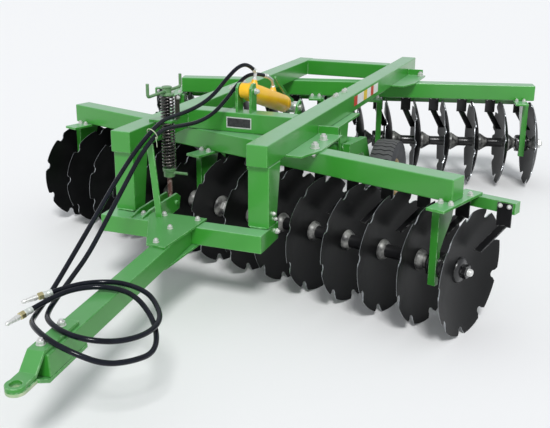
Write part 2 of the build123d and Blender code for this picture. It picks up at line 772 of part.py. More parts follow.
lugs = []
for side in (-1, 1):
    x0, x1 = sorted((ram_x + side * lug_gap / 2, ram_x + side * (lug_gap / 2 + lug_thick)))
    outline = [(front_cross_y + 10, main_top), (front_cross_y + 10, ram_base_height + 20),
               (ram_base_y - 20, ram_base_height + 45), (ram_base_y + 20, ram_base_height + 45),
               (ram_base_y + 34, ram_base_height), (ram_base_y + 34, main_top)]
    lugs.append(side_plate(outline, x0, x1))
pin_half = lug_gap / 2 + lug_thick + 4
pin = rod_x(ram_x - pin_half, ram_x + pin_half, ram_base_y, ram_base_height, pin_radius)
keep("ram_lugs", lugs[0] + lugs[1] + pin)

# ---------------------------------------------------------------- hoses
def hose(route):
    """A tube along straight runs, each corner rounded as far as its runs allow."""
    points = [Vector(*point) for point in route]
    runs = [after - before for before, after in zip(points, points[1:])]
    radii = []
    for before, after in zip(runs, runs[1:]):
        half_turn = radians(before.get_angle(after) / 2)
        radii.append(0.45 * min(before.length, after.length) / tan(half_turn))
    path = FilletPolyline(*points, radius=radii)
    section = Plane(origin=points[0], z_dir=runs[0]) * RegularPolygon(hose_radius, hose_sides)
    tube = sweep(section, path=path)
    print("hose radii", [round(radius) for radius in radii], "length", round(path.length),
          "volume ratio", round(tube.volume / (section.area * path.length), 4))
    return tube


def coupling(route):
    """Ferrule, nut, body and tip in line with the hose's last run."""
    end = Vector(*route[-1])
    run = (end - Vector(*route[-2])).normalized()
    start = 0
    body = None
    for (length, radius), sides in zip(coupling_steps, coupling_sides):
        step = many_sided(start, start + length, radius, radius, sides)
        body = step if body is None else body + step
        start += length
    return laid_along(end, run) * body


for number, route in ((1, hose_1_route), (2, hose_2_route)):
    keep(f"hose_{number}", hose(route))
    keep(f"coupling_{number}", coupling(route))

# ---------------------------------------------------------------- place and write
whole = Compound([shape for name, shape in parts.items() if name not in loose_cords]).bounding_box()
shift = (-(whole.min.X + whole.max.X) / 2, -(whole.min.Y + whole.max.Y) / 2, 0)

if __name__ == "__main__":
    print("box", whole.min, whole.max)
    print("shift", shift)
    os.makedirs("parts", exist_ok=True)
    for name, shape in parts.items():
        export_step(Pos(*shift) * shape, f"parts/{name}.step")
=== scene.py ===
import bpy
import json
import math
from mathutils import Matrix, Vector
from mathutils.bvhtree import BVHTree


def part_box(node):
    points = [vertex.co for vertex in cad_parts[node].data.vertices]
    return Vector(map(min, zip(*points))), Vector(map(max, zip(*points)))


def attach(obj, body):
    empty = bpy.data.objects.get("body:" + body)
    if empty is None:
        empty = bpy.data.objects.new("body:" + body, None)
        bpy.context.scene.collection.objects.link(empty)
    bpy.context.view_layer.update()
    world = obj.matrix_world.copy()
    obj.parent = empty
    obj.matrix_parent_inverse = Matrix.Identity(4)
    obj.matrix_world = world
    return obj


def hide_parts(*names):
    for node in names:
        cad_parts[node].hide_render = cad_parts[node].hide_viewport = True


# a trailed offset disc harrow; metres, +X is its right side, -Y its hitch, +Z up
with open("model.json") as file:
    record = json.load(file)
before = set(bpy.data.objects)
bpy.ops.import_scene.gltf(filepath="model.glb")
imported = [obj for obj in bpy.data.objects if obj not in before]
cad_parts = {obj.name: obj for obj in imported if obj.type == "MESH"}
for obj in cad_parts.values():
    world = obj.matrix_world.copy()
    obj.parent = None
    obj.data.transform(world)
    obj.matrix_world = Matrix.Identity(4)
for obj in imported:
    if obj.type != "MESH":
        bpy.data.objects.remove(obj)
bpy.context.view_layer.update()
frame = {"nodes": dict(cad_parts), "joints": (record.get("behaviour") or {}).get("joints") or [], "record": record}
nodes = frame["nodes"]
joints = {joint["name"]: joint for joint in frame["joints"]}
up = Vector((0, 0, 1))
onSide = Matrix.Rotation(math.radians(90), 4, "Y")  # lays what was made about Z along X

# the machine's own corner: midway between the main beams, at their front faces, on the ground
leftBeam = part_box("beam_left")
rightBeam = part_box("beam_right")
machineStart = Vector(((leftBeam[0].x + rightBeam[1].x) / 2, rightBeam[0].y, 0))


def at(x, y, z):
    return machineStart + Vector((x, y, z))


# camera, floor and light
cameraView = {"place": (2.0117, -3.8824, 1.9587), "turn": (71.58, -0.38, 21.43), "lens": 55.64,
              "shift": (0.002, -0.0024)}
floorLook = {"size": 60.0, "colour": (0.86, 0.86, 0.86)}
lampLook = {"sky": 0.62, "sun": 2.1, "spread": 14, "sunWay": (-0.35, 0.72, -0.9)}


def makeCamera():
    data = bpy.data.cameras.new("camera")
    camera = linked("camera", data)
    camera.location = at(*cameraView["place"])
    camera.rotation_euler = [math.radians(turn) for turn in cameraView["turn"]]
    data.lens = cameraView["lens"]
    data.sensor_width = 36.0
    data.shift_x, data.shift_y = cameraView["shift"]
    data.clip_end = 200.0
    bpy.context.scene.camera = camera


def makeLight():
    world = bpy.data.worlds.new("sky")
    bpy.context.scene.world = world
    world.use_nodes = True
    background = world.node_tree.nodes["Background"]
    background.inputs["Color"].default_value = (0.93, 0.96, 1.0, 1)
    background.inputs["Strength"].default_value = lampLook["sky"]
    data = bpy.data.lights.new("sun", "SUN")
    data.energy = lampLook["sun"]
    data.angle = math.radians(lampLook["spread"])
    sun = linked("sun", data)
    sun.rotation_euler = Vector(lampLook["sunWay"]).to_track_quat("-Z", "Y").to_euler()
    bpy.context.scene.view_settings.view_transform = "Standard"


def makeFloor():
    deselect()
    bpy.ops.mesh.primitive_plane_add(size=floorLook["size"], location=(0, 0, -0.0005))
    floor = bpy.context.object
    floor.name = "floor"
    material = bpy.data.materials.new("paleFloor")
    material.use_nodes = True
    shader = material.node_tree.nodes["Principled BSDF"]
    shader.inputs["Base Color"].default_value = (*floorLook["colour"], 1)
    shader.inputs["Roughness"].default_value = 0.9
    floor.data.materials.append(material)


# hand tools
def deselect():
    if bpy.context.object and bpy.context.object.mode != "OBJECT":
        bpy.ops.object.mode_set(mode="OBJECT")
    bpy.ops.object.select_all(action="DESELECT")


def pick(piece):
    deselect()
    piece.select_set(True)
    bpy.context.view_layer.objects.active = piece


def settle(piece, place=None):
    if place is not None:
        piece.matrix_world = place @ piece.matrix_world
    pick(piece)
    bpy.ops.object.transform_apply(location=True, rotation=True, scale=True)
    return piece


def smooth(piece, angle=32):
    pick(piece)
    bpy.ops.object.shade_smooth_by_angle(angle=math.radians(angle))
    return piece


def editing(piece):
    # edit mode with the whole mesh selected
    pick(piece)
    bpy.ops.object.mode_set(mode="EDIT")
    bpy.ops.mesh.select_all(action="SELECT")


def editDone(outward=True):
    if outward:
        bpy.ops.mesh.normals_make_consistent(inside=False)
    bpy.ops.object.mode_set(mode="OBJECT")


def applyAll(piece):
    pick(piece)
    for modifier in list(piece.modifiers):
        bpy.ops.object.modifier_apply(modifier=modifier.name)


def bevelEdges(piece, width, segments=2, angle=35):
    bevel = piece.modifiers.new("edges", "BEVEL")
    bevel.width = width
    bevel.segments = segments
    bevel.limit_method = "ANGLE"
    bevel.angle_limit = math.radians(angle)
    applyAll(piece)
    smooth(piece)
    flat = piece.modifiers.new("flat", "WEIGHTED_NORMAL")  # keeps the broad faces flat beside their rounded edges
    flat.keep_sharp = True
    flat.weight = 100
    applyAll(piece)
    return piece


def joined(pieces, name):
    deselect()
    for piece in pieces:
        piece.select_set(True)
    bpy.context.view_layer.objects.active = pieces[0]
    if len(pieces) > 1:
        bpy.ops.object.join()
    whole = bpy.context.object
    whole.name = name
    whole.data.name = name
    return whole


def copied(piece, place):
    twin = piece.copy()
    twin.data = piece.data.copy()
    bpy.context.scene.collection.objects.link(twin)
    return settle(twin, place)


def linked(name, data):
    piece = bpy.data.objects.new(name, data)
    bpy.context.scene.collection.objects.link(piece)
    return piece


def gone(piece):
    bpy.data.objects.remove(piece)


def aimed(point, direction, turn=0.0):
    # lays a piece that was made about Z from point along direction
    spin = Vector(direction).normalized().to_track_quat("Z", "Y").to_matrix().to_4x4()
    return Matrix.Translation(point) @ spin @ Matrix.Rotation(turn, 4, "Z")


def framed(origin, x, y, z):
    # a placing at origin with these axes
    return Matrix.Translation(origin) @ Matrix((x, y, z)).transposed().to_4x4()


def around(count, first=0.0):
    # turns about Z that share out a full circle
    return [Matrix.Rotation(first + 2 * math.pi * index / count, 4, "Z") for index in range(count)]


def turnedPiece(name, profile, sides=48, closed=False):
    # a circle extruded and scaled ring by ring; profile is (height, radius), and closed ends on its first ring
    deselect()
    height, radius = profile[0]
    bpy.ops.mesh.primitive_circle_add(vertices=sides, radius=radius, fill_type="NOTHING" if closed else "NGON",
                                      location=(0, 0, height))
    piece = bpy.context.object
    piece.name = name
    settle(piece)
    editing(piece)
    for nextHeight, nextRadius in profile[1:] + (profile[:1] if closed else []):
        bpy.ops.mesh.extrude_region_move(TRANSFORM_OT_translate={"value": (0, 0, nextHeight - height)})
        ratio = nextRadius / radius
        bpy.ops.transform.resize(value=(ratio, ratio, 1), center_override=(0, 0, nextHeight))
        height, radius = nextHeight, nextRadius
    bpy.ops.mesh.select_all(action="SELECT")
    if closed:
        bpy.ops.mesh.remove_doubles(threshold=0.00001)
    editDone()
    return smooth(piece)


def rings(start, radius, *steps):
    # a profile from (height above start, share of radius)
    return [(start + height, radius * share) for height, share in steps]


def plainBlock(name, size):
    deselect()
    bpy.ops.mesh.primitive_cube_add(size=1)
    piece = bpy.context.object
    piece.name = name
    piece.scale = size
    return settle(piece)


def block(name, size, place, width=0.0015):
    return settle(bevelEdges(plainBlock(name, size), width), place)


def softened(name, width, newName):
    # a copy of a CAD node with its edges rounded as a mill or a grinder leaves them
    piece = linked(newName, nodes[name].data.copy())
    piece.matrix_world = nodes[name].matrix_basis
    editing(piece)
    bpy.ops.mesh.remove_doubles(threshold=0.00002)
    bpy.ops.mesh.dissolve_limited(angle_limit=math.radians(1.5))
    editDone()
    return bevelEdges(piece, width)


def carried(piece, body, slot, *stoodFor):
    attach(piece, body)
    if stoodFor:
        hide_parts(*stoodFor)
    return piece


def ridden(pieces, name, body, slot, *stoodFor):
    return carried(joined([piece for piece in pieces if piece], name), body, slot, *stoodFor)


def painted(piece, look):
    piece.data.materials.append(paint[look])
    return piece


def dressed(piece, look, body, slot, *stoodFor):
    piece.data.materials.clear()
    return carried(painted(piece, look), body, slot, *stoodFor)


def recoloured(piece, look, chosen):
    # gives the faces that chosen picks, by their centre, another finish
    painted(piece, look)
    last = len(piece.data.materials) - 1
    for polygon in piece.data.polygons:
        if chosen(piece.matrix_world @ polygon.center):
            polygon.material_index = last
    return piece


def looseParts(piece):
    editing(piece)
    bpy.ops.mesh.separate(type="LOOSE")
    editDone(outward=False)
    return list(bpy.context.selected_objects)


# effects that several finishes share
def added(tree, kind, values=None, links=None, **settings):
    # one shader node with its settings, the values of its sockets and what is linked into them
    node = tree.nodes.new("ShaderNode" + kind)
    for key, value in settings.items():
        setattr(node, key, value)
    for socket, value in (values or {}).items():
        node.inputs[socket].default_value = value
    for socket, source in (links or {}).items():
        tree.links.new(source, node.inputs[socket])
    return node


def product(tree, first, second):
    return added(tree, "Math", links={0: first, 1: second}, operation="MULTIPLY").outputs[0]


wearAndPaintedLightLook = {"radius": 0.007, "samples": 6, "corner": (0.995, 0.93), "broken": (0.42, 0.6), "upward": (0.3, 1.0),
            "cloud": 7.0, "leastDustAndTopLight": 0.6, "noise": 45.0}


def wearAndPaintedLightGroup():
    # puts out a mask of rubbed corners broken up by noise, which with the light greens is also a painted edge
    # highlight, and one of upward faces, which is settled dust and with the pale greens also a painted top light
    group = bpy.data.node_groups.new("wearAndPaintedLight", "ShaderNodeTree")
    for name, way in (("Amount", "INPUT"), ("Scale", "INPUT"), ("WearAndEdgeHighlight", "OUTPUT"), ("DustAndTopLight", "OUTPUT")):
        group.interface.new_socket(name, in_out=way, socket_type="NodeSocketFloat")
    given = group.nodes.new("NodeGroupInput")
    out = group.nodes.new("NodeGroupOutput")
    place = added(group, "TexCoord").outputs["Object"]
    normal = added(group, "NewGeometry").outputs["Normal"]

    def ranged(source, start, end):
        values = {"From Min": start, "From Max": end}
        return added(group, "MapRange", values, {"Value": source}).outputs["Result"]

    noise = added(group, "TexNoise", {"Detail": 6}, {"Vector": place, "Scale": given.outputs["Scale"]})
    rounded = added(group, "Bevel", {"Radius": wearAndPaintedLightLook["radius"]}, samples=wearAndPaintedLightLook["samples"])
    turned = added(group, "VectorMath", links={0: rounded.outputs["Normal"], 1: normal}, operation="DOT_PRODUCT")
    corner = ranged(turned.outputs["Value"], *wearAndPaintedLightLook["corner"])
    broken = ranged(noise.outputs["Fac"], *wearAndPaintedLightLook["broken"])
    # rubbed corners: wear, and with the light green bare colours of the greens a painted edge highlight
    wearAndEdgeHighlight = product(group, product(group, corner, broken), given.outputs["Amount"])
    group.links.new(wearAndEdgeHighlight, out.inputs["WearAndEdgeHighlight"])
    upward = added(group, "SeparateXYZ", links={0: normal})
    # upward faces: settled dust, and on the green finishes a painted top light
    settledAndTopLit = ranged(upward.outputs["Z"], *wearAndPaintedLightLook["upward"])
    patchy = added(group, "TexNoise", {"Scale": wearAndPaintedLightLook["cloud"], "Detail": 8}, {"Vector": place})
    gentle = added(group, "MapRange", {"To Min": wearAndPaintedLightLook["leastDustAndTopLight"]}, {"Value": patchy.outputs["Fac"]})
    group.links.new(product(group, settledAndTopLit, gentle.outputs["Result"]), out.inputs["DustAndTopLight"])
    return group


wearAndPaintedLight = wearAndPaintedLightGroup()


def finish(name, colour, second, rough, metal=0.0, shine=0.5, coat=0.0, coatRough=0.12, wearAndEdgeHighlight=0.0, dustAndTopLight=0.0,
           dustAndTopLightColour=(0.62, 0.66, 0.6), bareAndEdgeHighlight=(0.6, 0.62, 0.6), patch=6.0, low=0.35, high=0.75, grain=260.0,
           bump=0.08, bumpDepth=0.0006):
    # one painted, plated or moulded surface: two tones, dust on top that on the greens is also a painted top light,
    # rubbed corners that on the greens are also a painted edge highlight, a fine bump
    material = bpy.data.materials.new(name)
    material.use_nodes = True
    tree = material.node_tree
    shader = tree.nodes["Principled BSDF"]
    place = added(tree, "TexCoord").outputs["Object"]
    effect = added(tree, "Group", {"Amount": wearAndEdgeHighlight, "Scale": wearAndPaintedLightLook["noise"]}, node_tree=wearAndPaintedLight).outputs
    noise = added(tree, "TexNoise", {"Scale": patch, "Detail": 7}, {"Vector": place}).outputs["Fac"]
    spread = added(tree, "MapRange", {"From Min": low, "From Max": high}, {"Value": noise})
    tones = added(tree, "Mix", {6: (*colour, 1), 7: (*second, 1)}, {0: spread.outputs["Result"]}, data_type="RGBA")
    amount = added(tree, "Math", {1: dustAndTopLight}, {0: effect["DustAndTopLight"]}, operation="MULTIPLY")
    dustyAndTopLit = added(tree, "Mix", {7: (*dustAndTopLightColour, 1)}, {0: amount.outputs[0], 6: tones.outputs[2]}, data_type="RGBA")
    # corners take the bare colour: worn metal, and on the greens a painted edge highlight
    rubbedAndHighlighted = added(tree, "Mix", {7: (*bareAndEdgeHighlight, 1)}, {0: effect["WearAndEdgeHighlight"], 6: dustyAndTopLit.outputs[2]}, data_type="RGBA")
    fine = added(tree, "TexNoise", {"Scale": grain, "Detail": 4}, {"Vector": place})
    bumped = added(tree, "Bump", {"Strength": bump, "Distance": bumpDepth}, {"Height": fine.outputs["Fac"]})
    varied = added(tree, "MapRange", {"To Min": rough[0], "To Max": rough[1]}, {"Value": noise})
    for socket, source in (("Base Color", rubbedAndHighlighted.outputs[2]), ("Normal", bumped.outputs["Normal"]),
                           ("Roughness", varied.outputs["Result"])):
        tree.links.new(source, shader.inputs[socket])
    for socket, value in (("Metallic", metal), ("Specular IOR Level", shine), ("Coat Weight", coat),
                          ("Coat Roughness", coatRough)):
        shader.inputs[socket].default_value = value
    return material


finishes = {
    # its dust colour is a paler green, dust and a painted top light; its bare colour is a light green, wear and a
    # painted edge highlight
    "greenPaint": dict(
        colour=(0.040, 0.305, 0.028), second=(0.034, 0.27, 0.024), rough=(0.3, 0.42), coat=0.65, coatRough=0.14,
        wearAndEdgeHighlight=0.8, dustAndTopLight=0.46, dustAndTopLightColour=(0.42, 0.72, 0.5), bareAndEdgeHighlight=(0.42, 0.68, 0.4), bump=0.05, grain=120.0, patch=3.0),
    # its dust colour is a paler green, dust and a painted top light; its bare colour is a light green, wear and a
    # painted edge highlight
    "tongueGreen": dict(
        colour=(0.036, 0.275, 0.026), second=(0.03, 0.24, 0.022), rough=(0.34, 0.48), coat=0.35, coatRough=0.2,
        wearAndEdgeHighlight=0.8, dustAndTopLight=0.2, dustAndTopLightColour=(0.38, 0.66, 0.44), bareAndEdgeHighlight=(0.42, 0.68, 0.4), bump=0.05, grain=120.0, patch=3.0),
    # its dust colour is a paler green, dust and a painted top light; its bare colour is a light green, wear and a
    # painted edge highlight
    "dullGreen": dict(
        colour=(0.06, 0.19, 0.055), second=(0.12, 0.26, 0.1), rough=(0.35, 0.55), coat=0.3, wearAndEdgeHighlight=0.7, dustAndTopLight=0.3,
        dustAndTopLightColour=(0.35, 0.5, 0.36), bareAndEdgeHighlight=(0.42, 0.55, 0.4), patch=24.0, bump=0.2, grain=200.0),
    "bareGreen": dict(
        colour=(0.5, 0.55, 0.38), second=(0.25, 0.42, 0.2), rough=(0.4, 0.6), wearAndEdgeHighlight=0.3, dustAndTopLight=0.1, patch=30.0),
    "yellowPaint": dict(
        colour=(0.95, 0.50, 0.008), second=(1.0, 0.60, 0.014), rough=(0.3, 0.45), coat=0.4, wearAndEdgeHighlight=0.3, dustAndTopLight=0.02,
        patch=9.0),
    "rimPaint": dict(
        colour=(0.42, 0.27, 0.07), second=(0.2, 0.14, 0.07), rough=(0.4, 0.6), wearAndEdgeHighlight=0.5, dustAndTopLight=0.4,
        dustAndTopLightColour=(0.16, 0.14, 0.11), patch=12.0),
    "blackPaint": dict(
        colour=(0.006, 0.006, 0.007), second=(0.014, 0.014, 0.015), rough=(0.2, 0.4), coat=0.3, wearAndEdgeHighlight=0.25, dustAndTopLight=0.05,
        dustAndTopLightColour=(0.2, 0.2, 0.2)),
    "dullBlack": dict(
        colour=(0.02, 0.018, 0.017), second=(0.07, 0.055, 0.045), rough=(0.4, 0.65), wearAndEdgeHighlight=0.3, dustAndTopLight=0.15, patch=30.0),
    "discBlack": dict(
        colour=(0.004, 0.0042, 0.0046), second=(0.008, 0.0084, 0.009), rough=(0.32, 0.5), shine=0.15, dustAndTopLight=0.04,
        dustAndTopLightColour=(0.05, 0.055, 0.06), patch=5.0, bump=0.05),
    "brightEdge": dict(colour=(0.5, 0.52, 0.54), second=(0.2, 0.21, 0.22), rough=(0.25, 0.5), metal=0.9, patch=30.0),
    "castIron": dict(
        colour=(0.05, 0.05, 0.05), second=(0.36, 0.36, 0.34), rough=(0.25, 0.55), metal=0.3, wearAndEdgeHighlight=0.3, dustAndTopLight=0.1,
        patch=22.0, low=0.42, high=0.7, bump=0.35, grain=160.0, bumpDepth=0.001),
    "zinc": dict(
        colour=(0.82, 0.82, 0.79), second=(0.66, 0.67, 0.66), rough=(0.25, 0.45), metal=0.6, dustAndTopLight=0.1, patch=60.0),
    "brass": dict(colour=(0.66, 0.58, 0.32), second=(0.5, 0.44, 0.24), rough=(0.22, 0.4), metal=0.9, patch=50.0),
    "rustySteel": dict(
        colour=(0.09, 0.026, 0.016), second=(0.2, 0.07, 0.04), rough=(0.5, 0.8), metal=0.3, wearAndEdgeHighlight=0.4, dustAndTopLight=0.1,
        patch=45.0, bump=0.4, grain=300.0),
    "tyreRubber": dict(
        colour=(0.028, 0.03, 0.034), second=(0.06, 0.062, 0.066), rough=(0.6, 0.85), dustAndTopLight=0.35,
        dustAndTopLightColour=(0.2, 0.2, 0.19), patch=14.0, bump=0.4, grain=220.0),
    "hoseRubber": dict(
        colour=(0.004, 0.005, 0.009), second=(0.009, 0.011, 0.018), rough=(0.11, 0.18), shine=0.22, patch=20.0,
        bump=0.05, grain=900.0),
    "springSteel": dict(
        colour=(0.03, 0.027, 0.026), second=(0.3, 0.26, 0.24), rough=(0.15, 0.35), metal=0.6, coat=0.6, patch=45.0,
        low=0.45),
    "platePrint": dict(
        colour=(0.02, 0.02, 0.022), second=(0.05, 0.05, 0.055), rough=(0.3, 0.5), dustAndTopLight=0.1, patch=80.0),
    "yellowPrint": dict(colour=(0.8, 0.55, 0.05), second=(0.75, 0.5, 0.05), rough=(0.3, 0.45), dustAndTopLight=0.1),
    "whitePlastic": dict(colour=(0.82, 0.82, 0.8), second=(0.7, 0.7, 0.68), rough=(0.35, 0.5), dustAndTopLight=0.1),
    "redPrint": dict(colour=(0.6, 0.05, 0.03), second=(0.5, 0.04, 0.02), rough=(0.3, 0.45), dustAndTopLight=0.1),
    "paleAluminium": dict(
        colour=(0.72, 0.76, 0.72), second=(0.6, 0.64, 0.6), rough=(0.35, 0.5), metal=0.4, patch=40.0),
}

makeCamera()
makeLight()
makeFloor()
paint = {name: finish(name, **look) for name, look in finishes.items()}
print("camera, light and finishes made")


# hoses: each lies on one smooth line through the points of its route
hoseLook = {"diameter": 0.0235, "length": {"hose_1": 4.04, "hose_2": 3.91}}
hoseRoutes = {
    "hose_1": [
        (0.025, 0.868, 1.152), (0.015, 0.800, 1.198), (-0.012, 0.712, 1.194), (-0.048, 0.620, 1.130),
        (-0.088, 0.540, 1.052), (-0.128, 0.430, 1.003), (-0.168, 0.280, 0.980), (-0.190, 0.110, 0.982),
        (-0.185, -0.048, 0.942), (-0.212, -0.170, 0.862), (-0.215, -0.360, 0.755), (-0.201, -0.562, 0.648),
        (-0.178, -0.760, 0.560), (-0.170, -0.925, 0.470), (-0.142, -1.080, 0.422), (-0.095, -1.235, 0.415),
        (-0.010, -1.365, 0.455), (0.150, -1.470, 0.464), (0.262, -1.472, 0.432), (0.360, -1.425, 0.382),
        (0.427, -1.330, 0.360), (0.463, -1.200, 0.345), (0.382, -1.050, 0.386), (0.235, -0.948, 0.448),
        (0.100, -0.926, 0.459), (-0.012, -0.982, 0.464), (-0.072, -1.098, 0.466), (-0.106, -1.228, 0.446),
    ],
    "hose_2": [
        (0.025, 1.048, 1.091), (0.006, 0.960, 1.117), (-0.022, 0.850, 1.118), (-0.046, 0.752, 1.066),
        (-0.064, 0.645, 1.001), (-0.088, 0.520, 0.940), (-0.120, 0.380, 0.915), (-0.150, 0.220, 0.925),
        (-0.162, 0.085, 0.942), (-0.161, -0.046, 0.925), (-0.175, -0.180, 0.846), (-0.165, -0.370, 0.732),
        (-0.145, -0.570, 0.626), (-0.131, -0.760, 0.518), (-0.122, -0.920, 0.462), (-0.100, -1.060, 0.430),
        (-0.055, -1.190, 0.428), (0.035, -1.320, 0.460), (0.170, -1.395, 0.463), (0.283, -1.385, 0.448),
        (0.365, -1.310, 0.424), (0.418, -1.190, 0.411), (0.408, -1.050, 0.410), (0.322, -0.940, 0.426),
        (0.245, -0.892, 0.451), (0.105, -0.866, 0.460), (0.000, -0.908, 0.461), (-0.062, -1.000, 0.470),
        (-0.116, -1.070, 0.458),
    ],
}
couplingParts = (  # name, length, radius, sides, finish, rings as (height, share of the radius)
    ("ferrule", 0.040, 0.0148, 32, "paleAluminium",
     ((0, 0.8), (0.001, 0.94), (0.010, 0.94), (0.012, 1), (0.018, 1), (0.020, 0.92), (0.026, 0.92), (0.028, 1),
      (0.038, 1), (0.040, 0.9))),
    ("nut", 0.024, 0.0168, 6, "brass", ((0, 0.9), (0.002, 1.08), (0.022, 1.08), (0.024, 0.9))),
    ("neck", 0.034, 0.0128, 32, "zinc",
     ((0, 0.82), (0.006, 0.82), (0.008, 1), (0.022, 1), (0.024, 0.86), (0.034, 0.86))),
    ("nose", 0.040, 0.0098, 32, "zinc",
     ((0, 1), (0.014, 1), (0.0155, 0.72), (0.020, 0.72), (0.0215, 1), (0.032, 0.92), (0.037, 0.6), (0.040, 0.3))),
)


def makeHose(name):
    points = [at(*point) for point in hoseRoutes[name]]
    curve = bpy.data.curves.new(name + "_line", "CURVE")
    curve.dimensions = "3D"
    spline = curve.splines.new("NURBS")
    spline.points.add(len(points) - 1)
    for point, spot in zip(spline.points, points):
        point.co = (*spot, 1)
    spline.order_u = 3
    spline.use_endpoint_u = True
    curve.resolution_u = 12
    curve.bevel_depth = hoseLook["diameter"] / 2
    curve.bevel_resolution = 5
    curve.use_fill_caps = True
    return painted(linked(name + "_line", curve), "hoseRubber"), points


def makeCoupling(name, points):
    pieces = []
    reach = 0.0
    for part, length, radius, sides, look, steps in couplingParts:
        piece = turnedPiece(part, rings(reach, radius, *steps), sides)
        if part == "nut":
            bevelEdges(piece, 0.0006)
        pieces.append(painted(piece, look))
        reach += length
    whole = settle(joined(pieces, name + "_fitting"), aimed(points[-1], points[-1] - points[-2]))
    return carried(whole, "frame", "zinc_steel", name)


for number in ("1", "2"):
    hose, points = makeHose("hose_" + number)
    coupling = makeCoupling("coupling_" + number, points)
    carried(hose, "frame", "hose_rubber", "hose_" + number)
print("hoses made")


# discs
discShape = {"radius": 0.330, "plate": 0.006, "flat": 0.076, "slope": 0.1017, "bow": 0.576, "count": 7,
             "spacing": 0.230, "notches": 9, "notchDepth": 0.040, "floorRadius": 0.0205, "mouth": 0.034,
             "mouthWide": 2.7, "rim": 0.012, "steps": 9}
quarterTurns = (0, 3, 1, 2, 0, 1, 3)
gangs = {  # how far the first disc is turned, and which way the hollows face
    "front_left": {"start": 25.5, "side": 1},
    "front_right": {"start": 18.5, "side": 1},
    "rear_left": {"start": 31.5, "side": -1},
    "rear_right": {"start": 22.5, "side": -1},
}


def gangPlace(name, side=1):
    # the frame of a half gang at its joint: X along its axle to that side, Z up
    joint = joints["gang_" + name + "_turn"]
    along = Vector(joint["axis"]).normalized() * side
    if along.x * side < 0:
        along.negate()
    return framed(joint["pos_m"], along, up.cross(along), up)


def firstDisc(name):
    # the same frame moved to the first disc, X the way the hollows face
    place = gangPlace(name, gangs[name]["side"])
    back = place.inverted()
    start = min((back @ vertex.co).x for vertex in nodes["discs_" + name].data.vertices)
    return place @ Matrix.Translation((start, 0, 0))


def discBow(radius):
    beyond = max(0.0, radius - discShape["flat"])
    return discShape["slope"] * beyond + discShape["bow"] * beyond ** 2


def makeDisc():
    rim, plate, flat, steps = (discShape[key] for key in ("radius", "plate", "flat", "steps"))
    radii = [0.02, flat] + [flat + step * (rim - discShape["rim"] - flat) / steps for step in range(1, steps + 1)]
    profile = [(discBow(radius), radius) for radius in radii]
    profile.append((discBow(rim) + plate * 0.45, rim))  # ground bevel on the back of the cutting edge
    profile.append((discBow(rim) + plate * 0.75, rim))
    profile += [(discBow(radius) + plate, radius) for radius in reversed(radii)]
    disc = settle(turnedPiece("disc", profile, 144), onSide)
    cutters = []
    for index in range(discShape["notches"]):
        deselect()
        bpy.ops.mesh.primitive_cylinder_add(vertices=20, radius=discShape["floorRadius"], depth=0.3)
        cutter = bpy.context.object
        settle(cutter, onSide)
        editing(cutter)
        bpy.ops.mesh.select_all(action="DESELECT")
        editDone(outward=False)
        for vertex in cutter.data.vertices:
            vertex.select = vertex.co.z > 0.001
        bpy.ops.object.mode_set(mode="EDIT")
        mouth = discShape["mouth"]
        bpy.ops.transform.translate(value=(0, 0, mouth))
        bpy.ops.transform.resize(value=(1, discShape["mouthWide"], 0.05), center_override=(0, 0, mouth))
        editDone(outward=False)
        middle = rim - discShape["notchDepth"] + discShape["floorRadius"]
        turn = -math.radians((index + 0.5) * 360 / discShape["notches"])
        settle(cutter, Matrix.Rotation(turn, 4, "X") @ Matrix.Translation((0.03, 0, middle)))
        cutters.append(cutter)
    cutter = joined(cutters, "notches")
    cut = disc.modifiers.new("notches", "BOOLEAN")
    cut.operation = "DIFFERENCE"
    cut.solver = "EXACT"
    cut.object = cutter
    applyAll(disc)
    gone(cutter)
    disc.data.materials.clear()
    painted(painted(disc, "discBlack"), "brightEdge")
    for polygon in disc.data.polygons:  # the rim and the notch walls are bare from the soil
        away = Vector((0, polygon.center.y, polygon.center.z)).length
        polygon.material_index = 1 if abs(polygon.normal.x) < 0.5 and away > 0.2 else 0
    return smooth(disc, 28)


def makeDiscs(name, model):
    place = firstDisc(name)
    row = []
    for index in range(discShape["count"]):
        turn = math.radians(-gangs[name]["start"] - 90 * quarterTurns[index])
        spot = place @ Matrix.Translation((index * discShape["spacing"], 0, 0)) @ Matrix.Rotation(turn, 4, "X")
        row.append(copied(model, spot))
    ridden(row, "blades_" + name, "gang_" + name, "disc_steel", "discs_" + name)


discModel = makeDisc()
for name in gangs:
    makeDiscs(name, discModel)
gone(discModel)
print("discs made")


# spools on the axle
spoolShape = {"flange": 0.058, "neck": 0.036, "bell": 0.070, "bellLong": 0.078,
              "journal": 0.0315, "journalHalf": 0.055, "plate": 0.006}
axleEnd = {"washer": 0.066, "washerThick": 0.0215, "nut": 0.038, "nutThick": 0.028, "thread": 0.0195, "out": 0.070,
           "pitch": 0.003, "nearShare": 0.72}
spoolRoom = discShape["spacing"] - spoolShape["plate"]
flangeRings = rings(0, spoolShape["flange"], (0, 0.97), (0.002, 1), (0.008, 0.985), (0.016, 0.93), (0.024, 0.84),
                    (0.030, 0.76))


def makeSpool():
    start = spoolRoom - spoolShape["bellLong"]
    bell, neck = spoolShape["bell"], spoolShape["neck"]
    profile = flangeRings + [
        (0.035, neck + 0.002), (0.042, neck), (start, neck), (start + 0.012, neck + 0.003),
        (start + 0.026, neck + 0.010), (start + 0.042, neck + 0.021), (start + 0.056, bell - 0.005),
        (start + 0.062, bell), (spoolRoom - 0.002, bell), (spoolRoom, bell * 0.97)]
    return settle(turnedPiece("spool", profile, 40), onSide)


